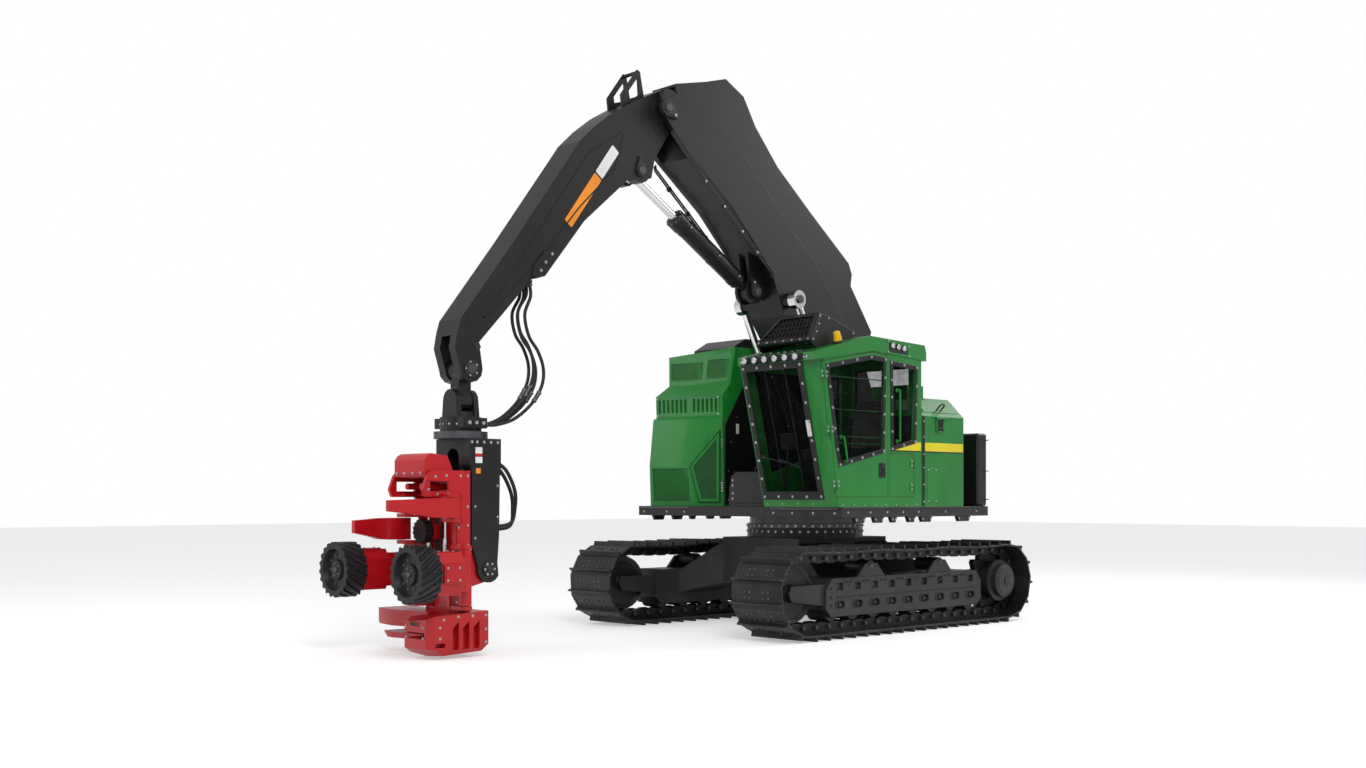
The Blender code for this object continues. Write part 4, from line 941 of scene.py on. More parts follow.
def addHousingForms():
    def tankRing(z, inset, drop):
        front, rear = -0.156 - inset - drop * 1.6, -0.95 + inset
        left, rightEdge = 1.60 - inset - drop, 0.42 + inset
        return [(rear, rightEdge, z), (front, rightEdge, z), (front, left, z), (rear, left, z)]

    tank = fused(loftForm([tankRing(1.3803, 0, 0), tankRing(2.40, 0, 0), tankRing(2.62, 0, 0.22)]),
                 blockForm((-0.93, 0.47, 2.60), (-0.615, 1.04, 2.80)))
    addForm("rearCompartment", tank, "greenPaint", "upper", "left_compartment")
    box = loftForm([[(0.56, -0.165, z), (1.12 - lean, -0.165, z), (1.12 - lean, 0.50, z), (0.56, 0.50, z)]
                    for z, lean in ((1.3803, 0.0), (1.62, 0.01), (1.775, 0.09))])
    addForm("serviceBox", box, "greyPaint", "upper")
    skin = loftForm([housingRing(row) for row in housingRows])
    room = loftForm([housingRing(row, housingEdges["sheet"]) for row in
                     ((1.28,) + housingRows[0][1:], housingRows[1], (2.40,) + housingRows[2][1:])])
    louvres, step = [], (-0.77 + 1.54) / 13
    for i in range(14):
        y = -1.54 + step * i
        if i != 7:
            louvres.append(pocketForm(y - 0.016, y + 0.016, 2.51, 2.67, 0.022))
    screens = [pocketForm(*screen, 0.02) for screen in housingScreens]
    addForm("engineHousing", carved(skin, room, gathered(*louvres), *screens, grilleForm(0.012, -0.028, 0.3)),
            "greenPaint", "upper", "engine_housing")
    addForm("grilleDoor", grilleForm(0.0, -0.026, 0.02), "greenPaint", "grille_door", "grille_door")
    cover = sideForm([[(0.42, 3.10), (0.42, 3.30), (0.20, 3.42), (-0.16, 3.43), (-0.85, 3.40),
                       (-1.05, 3.10)]],
                     -1.46, -0.79)
    addForm("hoodCover", carved(cover, loftForm([housingRing(row, 0.0, 0.001) for row in housingRows[-2:]])),
            "blackPaint", "upper")


addHousingForms()
print("stage: housing forms")

# Head and hanger: frame, saw box, feed arms, drums, knives
headForm = {"y": -0.15, "back": 4.93, "front": 5.117, "half": 0.30, "low": 0.44, "high": 1.74,
            "hood": 5.41, "hoodHalf": 0.255, "tilt": (4.70, 0.80), "armHinge": (5.10, 0.46), "armLow": 0.48,
            "armHigh": 1.00, "knifeHinge": (5.20, 0.43), "knifeLevels": {1: (1.30, 1.48), -1: (1.08, 1.29)},
            "knifeReach": {1: 0.645, -1: 0.62}, "roller": (5.217, -0.21, 1.165), "gap": 0.006,
            "drumFront": 5.85, "drumLength": 0.22, "drumOffset": 0.63, "drumZ": 0.80, "drumRadius": 0.265,
            "drumRoot": 0.243, "saw": (0.035, 0.425)}


def addHangerForm():
    y = headForm["y"]
    topSide = [(4.56, 2.05), (4.92, 2.05), (4.92, 1.80), (4.86, 1.75), (4.65, 1.70), (4.56, 1.70)]
    arch = [(y - 0.10, 1.60)] + arc((y, 1.86), 0.10, 180, 0, 13) + [(y + 0.10, 1.60)]
    top = carved(sideForm([topSide], y - 0.285, y + 0.285), frontForm([arch], 4.82, 4.97))
    cheek = [(4.60, 2.04), (4.90, 2.04), (4.90, 1.05)] + arc((4.70, 0.80), 0.13, 10, -150, 13)
    cheek += [(4.60, 0.86), (4.58, 1.12), (4.57, 1.70)]
    others = []
    for side in (-1, 1):
        others.append(flankForm([cheek], y, side, 0.250, 0.282))
        others.append(rodForm((4.70, y + side * 0.275, 0.80), (4.70, y + side * 0.297, 0.80), 0.075))
    others.append(blockForm((4.595, y - 0.265, 1.15), (4.635, y + 0.265, 1.90)))
    others.append(blockForm((4.53, y - 0.09, 1.13), (4.62, y + 0.09, 1.25)))
    addForm("hangerBody", fused(top, *others), "blackPaint", "hanger", "hanger")


def addFrameForm():
    h = headForm
    y, back, front, half, low, high, hood = [h[k] for k in ("y", "back", "front", "half", "low", "high",
                                                            "hood")]
    plan = [(back, y - half)]
    for x, across in ((0.04, -half), (0.04, -0.20), (0.10, -0.14), (0.10, 0.14), (0.04, 0.20), (0.04, half)):
        plan.append((back + x, y + across))
    spine = floorForm([plan + [(back, y + half)]], low, high)
    flank = [(back, low), (front + 0.05, low), (front + 0.05, 0.60), (front, 0.68), (front, 1.44),
             (front + 0.06, 1.49),
             (hood + 0.02, 1.49), (hood + 0.05, 1.56), (hood, 1.69), (hood - 0.05, high), (back + 0.07, high),
             (back, high - 0.06)]
    slot = rect(front + 0.055, 1.545, hood - 0.03, 1.635)
    others = [flankForm([flank, slot], y, s, (half - 0.035), half) for s in (-1, 1)]
    lug = [(back + 0.02, 0.62), (back + 0.02, 1.00)] + arc(h["tilt"], 0.12, 100, 270, 13)
    others += [flankForm([lug], y, s, 0.16, 0.244) for s in (-1, 1)]
    others.append(rodForm((4.70, y - 0.2, 0.80), (4.70, y + 0.2, 0.80), 0.06))
    for s in (-1, 1):
        for x, reach, bottom, top in ((*h["armHinge"], h["armLow"], h["armHigh"]),
                                      (*h["knifeHinge"], *h["knifeLevels"][s])):
            for start, end in ((bottom - 0.041, bottom - 0.006), (top + 0.006, top + 0.041)):
                root = half - 0.03
                ear = [(back + 0.03, root - 0.03), (front - 0.005, root - 0.03), (x + 0.06, root + 0.04),
                       (x + 0.065, reach)] + arc((x, reach), 0.065, 20, 160, 9) + [(x - 0.065, reach)]
                others.append(floorForm([[(u, y + s * v) for u, v in ear]], start, end))
    hoodSide = [(hood, 1.68), (hood, 1.835), (hood - 0.03, 1.878), (hood - 0.07, 1.90), (hood - 0.25, 1.88),
                (hood - 0.32, high - 0.01), (hood - 0.32, 1.66)]
    pocket = sideForm([[(hood - 0.02, 1.60), (hood - 0.03, 1.70), (hood - 0.16, 1.79), (hood - 0.29, 1.72),
                        (hood - 0.29, 1.60)]], y - h["hoodHalf"] + 0.025, y + h["hoodHalf"] - 0.025)
    others.append(carved(sideForm([hoodSide], y - h["hoodHalf"], y + h["hoodHalf"]), pocket))
    others.append(blockForm((back + 0.06, y - half + 0.01, high - 0.03),
                            (front + 0.16, y + half - 0.01, high - 0.001)))
    others.append(blockForm((hood - 0.31, y - half + 0.01, 1.67), (hood - 0.10, y + half - 0.01, 1.70)))
    others.append(carved(blockForm((front - 0.02, y - half + 0.01, 1.50),
                                   (hood - 0.06, y + half - 0.01, 1.525)),
                         blockForm((front + 0.06, y - 0.18, 1.4), (hood + 0.1, y + 0.18, 1.6))))
    others += [rodForm((back + 0.02, y + s, 1.59), (hood - 0.05, y + s, 1.59), 0.03, 16) for s in (-0.12,
                                                                                                   0.12)]
    rx, ry, rz = h["roller"]
    others.append(blockForm((back + 0.06, ry - 0.10, rz - 0.07), (rx - 0.051, ry + 0.10, rz + 0.07)))
    addForm("headFrame", fused(spine, *others), "redPaint", "head", "head_frame")


def ribbedForm(spot, root, crest, length, teeth, layers, twist):
    rib = []
    for i in range(teeth):
        for share, radius in ((0.0, root), (0.18, crest), (0.46, crest), (0.64, root)):
            turn = 2 * math.pi * (i + share) / teeth
            rib.append((radius * math.cos(turn), radius * math.sin(turn)))
    rings = []
    for k in range(layers):
        angle = twist * k / (layers - 1)
        cosine, sine = math.cos(angle), math.sin(angle)
        rings.append([(spot[0] - length * k / (layers - 1), spot[1] + a * cosine - b * sine,
                       spot[2] + a * sine + b * cosine)
                      for a, b in rib])
    return loftForm(rings)


def addFeedForms():
    h = headForm
    y, z = h["y"], h["drumZ"]
    hingeX, hingeY = h["armHinge"]
    plan = [(hingeX - 0.05, hingeY - 0.02), (hingeX + 0.02, hingeY + 0.08), (5.26, 0.73), (5.42, 0.73),
            (5.42, 0.55),
            (5.24, 0.53), (hingeX + 0.05, hingeY - 0.05)]
    corners = ((-1, -0.10), (-0.6, -0.20), (0.6, -0.20), (1, -0.10), (1, 0.10), (0.6, 0.19), (-0.6, 0.19),
               (-1, 0.10))
    motorFront = h["drumFront"] - h["drumLength"] - 0.03
    for name, s in (("left", 1), ("right", -1)):
        drumY = y + s * h["drumOffset"]
        post = rodForm((hingeX, y + s * hingeY, h["armLow"]), (hingeX, y + s * hingeY, h["armHigh"]), 0.06)
        arm = floorForm([[(u, y + s * v) for u, v in plan]], z - 0.17, z + 0.15)
        motor = frontForm([[(drumY + a * 0.15, z + b) for a, b in corners]], 5.33, motorFront)
        cover = blockForm((5.37, min(drumY + s * 0.14, drumY + s * 0.175), z - 0.085),
                          (motorFront - 0.04, max(drumY + s * 0.14, drumY + s * 0.175), z + 0.085))
        boss = rodForm((motorFront - 0.02, drumY, z), (h["drumFront"] - h["drumLength"] - 0.006, drumY, z),
                       0.16)
        addForm(name + "FeedArm", fused(arm, post, motor, cover, boss), "redPaint", "feed_arm_" + name,
                "feed_arm_" + name)
        drum = ribbedForm((h["drumFront"], drumY, z), h["drumRoot"], h["drumRadius"], h["drumLength"], 20, 7,
                          math.radians(34) * s)
        dish = turnedForm([(0, 0.01), (0.205, 0.01), (0.185, -0.055), (0.10, -0.055), (0.09, -0.03),
                           (0, -0.03)],
                          (h["drumFront"], drumY, z), (1, 0, 0))
        addForm(name + "FeedDrum", carved(drum, dish), "drumSteel", "feed_drum_" + name, "feed_drum_" + name)
    rx, ry, rz = h["roller"]
    addForm("innerRoller", ribbedForm((rx + 0.045, ry, rz), 0.103, 0.115, 0.09, 14, 3, 0.1), "drumSteel",
            "head")


def addKnifeForms():
    h = headForm
    stations = [(-0.055, 0.385, 0.475, 1.0), (0.10, 0.365, 0.505, 1.0), (0.30, 0.388, 0.512, 0.99),
                (0.45, 0.400, 0.500, 0.96), (0.62, 0.375, 0.455, 0.80), (0.82, 0.335, 0.400, 0.67),
                (1.0, 0.290, 0.345, 0.56)]
    for name, s in (("left", 1), ("right", -1)):
        low, high = h["knifeLevels"][s]
        middle = high - (high - low) * 0.31 - 0.012
        rings = []
        for share, inner, outer, tall in stations:
            x = h["knifeHinge"][0] + (share * h["knifeReach"][s] if share > 0 else share)
            centre = (low + high) / 2 + (middle - (low + high) / 2) * (1 - tall) / 0.44
            half = (high - low) * tall / 2
            a, b = h["y"] + s * inner, h["y"] + s * outer
            rings.append([(x, a, centre - half), (x, b, centre - half), (x, b, centre + half),
                          (x, a, centre + half)])
        hinge = h["y"] + s * h["knifeHinge"][1]
        hub = rodForm((h["knifeHinge"][0], hinge, low), (h["knifeHinge"][0], hinge, high), 0.06)
        addForm(name + "Knife", fused(loftForm(rings), hub), "redPaint", "knife_" + name, "knife_" + name)


def addSawForm():
    y, back = headForm["y"], 4.90
    low, high = headForm["saw"]
    tip, side = 5.54, 5.28
    inner, outer, end = y + 0.07, y + 0.55, y - 0.78
    lobe = loftForm([
        [(back + 0.06, outer - 0.03, low + 0.02), (tip - 0.16, outer - 0.04, low),
         (tip - 0.06, outer - 0.16, low),
         (tip - 0.06, inner + 0.06, low + 0.02), (tip - 0.18, inner, low + 0.02),
         (back + 0.06, inner, low + 0.02)],
        [(back, outer, 0.12), (tip - 0.05, outer, 0.10), (tip, outer - 0.08, 0.10), (tip, inner + 0.05, 0.10),
         (tip - 0.10, inner, 0.12), (back, inner, 0.12)],
        [(back, outer, high + 0.005), (tip - 0.05, outer, high - 0.02), (tip, outer - 0.08, high - 0.05),
         (tip, inner + 0.05, high - 0.09), (tip - 0.10, inner, high - 0.05), (back, inner, high)]])
    wing = carved(floorForm([[(back, inner + 0.05), (side, inner + 0.05), (side, -0.40), (side + 0.04, -0.60),
                              (side - 0.02, end), (back, end)]], 0.135, high - 0.02),
                  frontForm([[(end - 0.05, 0.10), (end - 0.05, 0.30), (end + 0.28, 0.10)]], back - 0.1, 5.5))
    pockets = []
    for i in range(3):
        x = back + 0.10 + 0.115 * i
        pockets.append(loftForm([[(x, outer - depth, 0.085), (x + 0.07, outer - depth, 0.085),
                                  (x + 0.07, outer - depth, 0.28),
                                  (x, outer - depth, 0.345)] for depth in (0.07, -0.05)]))
    slot = blockForm((4.98, end - 0.02, 0.19), (tip + 0.02, outer - 0.10, 0.25))
    lip = blockForm((4.93, y - 0.30, high - 0.06), (5.03, y + 0.30, 0.438))
    front = blockForm((tip - 0.16, outer - 0.06, 0.115), (tip - 0.05, outer + 0.05, 0.155))
    addForm("sawBox", carved(fused(lobe, wing, lip), slot, *pockets, front), "redPaint", "head", "saw_box")


# Stick: knuckle bridge and saddle; boom: pin caps
def addArmForms():
    y = -0.15
    bridge = [(2.56, 5.70), (2.56, 5.80), (2.61, 6.03), (2.65, 6.045), (2.88, 5.74), (2.86, 5.58),
              (2.70, 5.66)]
    hole = [(2.63, 5.78), (2.645, 5.96), (2.79, 5.77), (2.78, 5.71), (2.68, 5.74)]
    saddle = [(3.79, 4.00), (3.84, 3.83), (3.955, 3.70), (4.05, 3.665), (4.10, 3.68), (4.08, 3.80),
              (3.95, 3.95)]
    plates = []
    for s in (-1, 1):
        plates.append(flankForm([bridge, hole], y, s, 0.10, 0.12))
        plates.append(flankForm([saddle], y, s, 0.16, 0.192))
        cap = arc((2.65, 4.96), 0.075, 150, 390, 17) + [(2.68, 5.11)]
        plates.append(flankForm([cap], y, s, 0.16, 0.192))
    plates.append(rodForm((2.635, y - 0.11, 6.02), (2.635, y + 0.11, 6.02), 0.02, 16))
    addForm("stickPlates", gathered(*plates), "blackPaint", "stick")
    caps = []
    for s in (-1, 1):
        for pin, turn, low, high, radius in (((2.36, 5.66), 215, 0.255, 0.306, 0.092),
                                             ((0.81, 3.86), 60, 0.115, 0.147, 0.075)):
            tip = (pin[0] + 0.17 * math.cos(math.radians(turn)), pin[1] + 0.17 * math.sin(math.radians(turn)))
            caps.append(flankForm([arc(pin, radius, turn + 60, turn + 300, 19) + [tip]], y, s, low, high))
    addForm("boomPlates", gathered(*caps), "greyPaint", "boom")


addHangerForm()
addFrameForm()
addFeedForms()
addKnifeForms()
addSawForm()
addArmForms()
print("stage: head forms")


# Cab: window frames, hinges, handles, stripe
cabLook = {
    "frameLift": 0.007, "bolt": 0.0105, "boltStep": 0.19,
    "screen": rect(0.535, 1.462, 1.415, 2.908),
    "screenHole": rect(0.60, 1.55, 1.34, 2.84),
    "hingeLevels": [2.77, 2.20, 1.63],
    "rungs": [(2.756, "greenPaint"), (2.585, "darkPlastic"), (2.414, "greenPaint"),
              (2.235, "darkPlastic"), (2.130, "greenPaint"), (2.060, "greenPaint")],
}
screenFace = panel((frontX(0), 0, 0), (0, 1, 0), (screenLean, 0, 1), (1, 0, -screenLean))
leftFace = sideFace(cabForm["left"])
rightFace = sideFace(cabForm["right"], -1)


def addWindowFrame(name, face, glass, wide, body, step):
    outer, inner = shrunk(glass, -wide), shrunk(glass, 0.018)
    bm = bmesh.new()
    addFrame(bm, face, outer, inner, 0.0004, cabLook["frameLift"])
    addPiece(name + "Frame", bm, "blackPaint", body)
    bm = bmesh.new()
    addBoltRow(bm, face, shrunk(glass, -wide * 0.35), step, cabLook["bolt"], cabLook["frameLift"])
    addPiece(name + "Bolts", bm, "boltSteel", body)


def addCabWindows():
    bm = bmesh.new()
    addFrame(bm, screenFace, cabLook["screen"], cabLook["screenHole"], 0.0004, cabLook["frameLift"])
    addPiece("windscreenFrame", bm, "blackPaint", "upper")
    bm = bmesh.new()
    addBoltRow(bm, screenFace, shrunk(cabLook["screen"], 0.032), cabLook["boltStep"], cabLook["bolt"],
               cabLook["frameLift"])
    addPiece("windscreenBolts", bm, "boltSteel", "upper")
    bm = bmesh.new()
    for y in (0.83, 1.12):
        addPlate(bm, screenFace, rect(y - 0.010, 1.50, y + 0.010, 2.88),
                 -0.040, -0.030)
    addPiece("windscreenBars", bm, "darkPlastic", "upper")
    addWindowFrame("doorWindow", leftFace, cabForm["doorPane"], 0.034, "cab_door", 0.21)
    addWindowFrame("sideWindow", leftFace, cabForm["sidePane"], 0.032, "upper", 0.20)
    rightGlass = [(0.0, 2.87), (1.4735, 2.86), (1.193, 1.75), (0.0, 2.10)]
    addWindowFrame("rightWindow", rightFace, rightGlass, 0.034, "upper", 0.26)
    rearFace = frontFace(cabForm["rear"], -1)
    bm = bmesh.new()
    rearGlass = rect(0.66, 2.45, 1.46, 2.95)
    addFrame(bm, rearFace, shrunk(rearGlass, -0.03), shrunk(rearGlass, 0.015), 0.0004, 0.004)
    addPiece("rearWindowFrame", bm, "blackPaint", "upper")


def addWiper():
    bm = bmesh.new()
    addDisc(bm, on(screenFace, 0.66, 1.93, 0.008), screenFace[3], 0.020, 0.0, 0.022, 14)
    arm = [on(screenFace, 0.66, 1.93, 0.024), on(screenFace, 0.78, 1.905, 0.026),
           on(screenFace, 0.95, 1.86, 0.018)]
    addTube(bm, arm, 0.005, 8)
    addPlate(bm, screenFace, [(0.86, 1.905), (1.16, 1.81), (1.155, 1.80), (0.865, 1.895)], 0.003, 0.014)
    addPiece("wiper", bm, "darkPlastic", "upper")


def addDoorDetail():
    hinge = {"reach": 0.052, "tall": 0.085, "pin": 0.011}
    doorSide, shellSide, bolts, shellBolts = bmesh.new(), bmesh.new(), bmesh.new(), bmesh.new()
    for level in cabLook["hingeLevels"]:
        x, half = doorEdgeX(level), hinge["tall"] / 2
        edge = [(doorEdgeX(level - half), level - half), (doorEdgeX(level + half), level + half)]
        inner = [(edge[0][0] - hinge["reach"], edge[0][1]), (edge[1][0] - hinge["reach"], edge[1][1])]
        outer = [(edge[0][0] + hinge["reach"], edge[0][1]), (edge[1][0] + hinge["reach"], edge[1][1])]
        addPlate(doorSide, leftFace, rounded([edge[0], edge[1], inner[1], inner[0]], 0.01), 0.0004, 0.007)
        addPlate(shellSide, leftFace, rounded([(edge[0][0] + 0.008, edge[0][1]),
                                               (edge[1][0] + 0.008, edge[1][1]),
                                               outer[1], outer[0]], 0.01), 0.0004, 0.007)
        low, high = on(leftFace, *edge[0], 0.012), on(leftFace, *edge[1], 0.012)
        addTube(doorSide, [low, high], hinge["pin"], 12)
        for lift in (-0.022, 0.022):
            addBoltOn(bolts, leftFace, x - 0.034, level + lift, 0.007, 0.009)
            addBoltOn(shellBolts, leftFace, x + 0.036, level + lift, 0.007, 0.009)
    addPiece("doorHinges", doorSide, "greenPaint", "cab_door")
    addPiece("doorHingeSeats", shellSide, "greenPaint", "upper")
    addPiece("doorHingeBolts", bolts, "boltSteel", "cab_door")
    addPiece("doorHingeSeatBolts", shellBolts, "boltSteel", "upper")
    bm = bmesh.new()
    plate = rounded(rect(0.50, 1.70, 0.60, 1.86), 0.018)
    addFrame(bm, leftFace, plate, shrunk(plate, 0.016), 0.0004, 0.011, 0.003)
    addPlate(bm, leftFace, shrunk(plate, 0.015), 0.0004, 0.003, 0.001)
    addPlate(bm, leftFace, rounded(rect(0.52, 1.80, 0.58, 1.845), 0.008), 0.003, 0.016)
    addDisc(bm, on(leftFace, 0.55, 1.745), leftFace[3], 0.012, 0.003, 0.010, 16)
    addPiece("doorLatch", bm, "darkPlastic", "cab_door")
    for i, (level, finish) in enumerate(cabLook["rungs"]):
        bm = bmesh.new()
        rear = 0.510 + (2.972 - level) * 0.0288
        front = 1.445 - (2.851 - level) * 0.1849
        top = 2.984 - (level - 2.851) if level > 2.851 else front
        addTube(bm, [(rear - 0.010, 1.571, level), (min(front, top) + 0.010, 1.571, level)], 0.0055, 8)
        addPiece("doorRung%d" % (i + 1), bm, finish, "cab_door")


def addHandle(name, face, line, standoff, radius, finish, body, bend=0.05):
    bm = bmesh.new()
    ends = [on(face, *line[0]), on(face, *line[-1])]
    run = [ends[0]] + [on(face, u, v, standoff) for u, v in line] + [ends[1]]
    addTube(bm, rounded(run, bend, 5, closed=False), radius, 10)
    for end in ends:
        addDisc(bm, end, face[3], radius * 2.0, 0.0002, 0.005, 14)
    addPiece(name, bm, finish, body)


def addCabTrim():
    bm = bmesh.new()
    stripe = [(0.415, 2.003), (0.030, 2.090), (-0.145, 2.099), (-0.145, 2.003)]
    addPlate(bm, leftFace, stripe, 0.0003, 0.0018, 0.0005)
    addPlate(bm, leftFace, rect(-0.215, 2.003, -0.940, 2.099), 0.0003, 0.0018,
             0.0005)
    addPiece("sideStripe", bm, "yellowPaint", "upper")
    bm = bmesh.new()
    for front, rear in ((0.415, -0.145), (-0.215, -0.940)):
        addPlate(bm, leftFace, rect(front, 1.989, rear, 2.003), 0.0003, 0.0018, 0.0005)
    addPiece("sideStripeEdge", bm, "blackPaint", "upper")
    bm = bmesh.new()
    addPlate(bm, screenFace, rounded(rect(1.335, 2.13, 1.395, 2.30), 0.006),
             0.0075, 0.0095, 0.0005)
    addPiece("screenPlate", bm, "whitePlate", "upper")
    addHandle("doorHandrail", leftFace, [(1.180, 1.86), (1.235, 2.12)], 0.045, 0.010, "greenPaint",
              "cab_door")
    addHandle("sideHandrail", leftFace, [(0.290, 2.10), (0.290, 2.66)], 0.045, 0.011, "greenPaint", "upper",
              0.08)
    hinges, bolts = bmesh.new(), bmesh.new()
    for level in (1.60, 1.86):
        addPlate(hinges, leftFace, rounded(rect(-0.01, level - 0.045, 0.055, level + 0.045), 0.01), 0.0004,
                 0.006)
        addTube(hinges, [on(leftFace, -0.015, level - 0.045, 0.010),
                         on(leftFace, -0.015, level + 0.045, 0.010)],
                0.009, 10)
        for lift in (-0.024, 0.024):
            addBoltOn(bolts, leftFace, 0.030, level + lift, 0.006, 0.009)
    addPiece("hatchHinges", hinges, "greenPaint", "cab_hatch")
    addPiece("hatchHingeBolts", bolts, "boltSteel", "cab_hatch")
    bm = bmesh.new()
    for x in (1.20, 1.02, 0.84, 0.66, 0.48, 0.30, 0.12, -0.06):
        addBolt(bm, (x, cabForm["left"] + 0.0004, 1.405), (0, 1, 0), 0.006)
    for y in (0.58, 0.80, 1.02, 1.24):
        addBoltOn(bm, screenFace, y, 1.415, 0.0004, 0.006)
    addPiece("sillBolts", bm, "boltSteel", "upper")


addCabWindows()
addWiper()
addDoorDetail()
addCabTrim()
print("stage: cab")

# Roof: brow lamps, side lamps, guard
roofLook = {
    "lampFace": 1.7175, "lampLevel": 2.95, "lampFirst": 0.66, "lampLast": 1.39, "lampCount": 6,
    "guardFront": (1.50, 3.134), "guardTop": (1.36, 3.44),
    "guardMesh": [(0.665, 3.165), (1.355, 3.165), (1.355, 3.405), (0.885, 3.405)],
    "guardRim": [(0.632, 3.145), (1.388, 3.145), (1.388, 3.430), (0.855, 3.430)],
}


def addLamp(shell, mirror, lens, spot, out, radius):
    out = Vector(out).normalized()
    addDisc(shell, spot, out, radius, 0.0, 0.006, 20)
    addDisc(mirror, spot, out, radius * 0.80, 0.006, 0.009, 20, 0.85)
    addDisc(mirror, spot, out, radius * 0.30, 0.009, 0.013, 12, 0.5)
    addDisc(lens, spot, out, radius * 0.88, 0.014, 0.019, 20, 0.90)
    for k in range(3):
        turn = 2 * math.pi * k / 3
        side = out.orthogonal().normalized()
        at = Vector(spot) + (side * math.cos(turn) + out.cross(side) * math.sin(turn)) * radius * 0.93
        addDisc(shell, at, out, radius * 0.10, 0.006, 0.020, 8)


def addRoofDetail():
    shell, mirror, lens = bmesh.new(), bmesh.new(), bmesh.new()
    count = roofLook["lampCount"]
    for i in range(count):
        y = roofLook["lampFirst"] + (roofLook["lampLast"] - roofLook["lampFirst"]) * i / (count - 1)
        addLamp(shell, mirror, lens, (roofLook["lampFace"], y, roofLook["lampLevel"]), (1, 0, 0), 0.041)
    for x in (0.375, 0.275, 0.175):
        spot = on(leftFace, x, 3.095 + 0.10 * x + 0.012, 0.0075)
        addLamp(shell, mirror, lens, spot, (0, 1, 0), 0.036)
    addPlate(shell, leftFace, [(0.432, 3.075), (0.432, 3.165), (0.108, 3.136), (0.108, 3.060)], 0.0065,
             0.0090)
    addPiece("lampShells", shell, "darkPlastic", "upper")
    addPiece("lampMirrors", mirror, "chrome", "upper")
    addPiece("lampLenses", lens, "lampGlass", "upper")
    bolts = bmesh.new()
    for y in (0.57, 0.60, 1.47, 1.51):
        addBolt(bolts, (cabForm["frontHigh"] + 0.0125, y, 2.945), (1, 0, 0), 0.010)
    addBolts(bolts, leftFace, ((0.452, 3.19), (0.452, 3.07), (0.088, 3.155), (0.088, 3.045)), 0.0125, 0.008)
    front, top = roofLook["guardFront"], roofLook["guardTop"]
    lean = (top[0] - front[0]) / (top[1] - front[1])
    face = panel((front[0] - lean * front[1], 0, 0), (0, 1, 0), (lean, 0, 1), (1, 0, -lean))
    bm = bmesh.new()
    addFrame(bm, face, roofLook["guardRim"], roofLook["guardMesh"], 0.0004, 0.006)
    side = sideFace(1.40)
    addPlate(bm, side, [(front[0] - 0.004, front[1]), (top[0] - 0.002, top[1] - 0.006),
                        (top[0] - 0.05, top[1] - 0.02),
                        (front[0] - 0.055, front[1] + 0.004)], 0.0004, 0.005)
    addPiece("guardRim", bm, "greyPaint", "upper")
    bm = bmesh.new()
    addScreen(bm, face, roofLook["guardMesh"], 0.052, 0.009, 0.008, lift=-0.014)
    addScreen(bm, face, roofLook["guardMesh"], 0.013, 0.003, 0.003, lift=-0.019)
    addPiece("guardScreen", bm, "blackPaint", "upper")
    for y in (0.66, 0.78, 0.90, 1.02, 1.14, 1.26, 1.37):
        addBoltOn(bolts, face, y, 3.153, 0.006, 0.008)
    for x, z in ((1.345, 3.405), (1.36, 3.32), (1.40, 3.235), (1.455, 3.15), (1.20, 3.39), (0.80, 3.26),
                 (1.0, 3.19)):
        addBoltOn(bolts, side, x, z, 0.0045 if x > 1.30 else 0.0004, 0.008)
    for x in (0.80, 1.00, 1.20):
        addBolt(bolts, (x, 0.58, 2.992 + 0.2536 * (1.672 - x) + 0.0004), (0.25, 0, 1), 0.007)
    addPiece("roofBolts", bolts, "boltSteel", "upper")
    bm = bmesh.new()
    slope = panel((1.672, 0, 2.992), (0, 1, 0), (-0.9693, 0, 0.2458), (0.2458, 0, 0.9693))
    addPlate(bm, slope, rect(0.60, 0.055, 1.42, 0.172), 0.0004, 0.006)
    addPiece("guardFlange", bm, "greyPaint", "upper")
    bm = bmesh.new()
    for y in (0.64, 0.74, 0.84, 0.94, 1.04, 1.14, 1.24, 1.36):
        addBoltOn(bm, slope, y, 0.080, 0.006, 0.008)
    for y in (0.69, 0.89, 1.09, 1.29):
        addBoltOn(bm, slope, y, 0.115, 0.006, 0.008)
    addPiece("guardFlangeBolts", bm, "boltSteel", "upper")


addRoofDetail()
print("stage: roof")

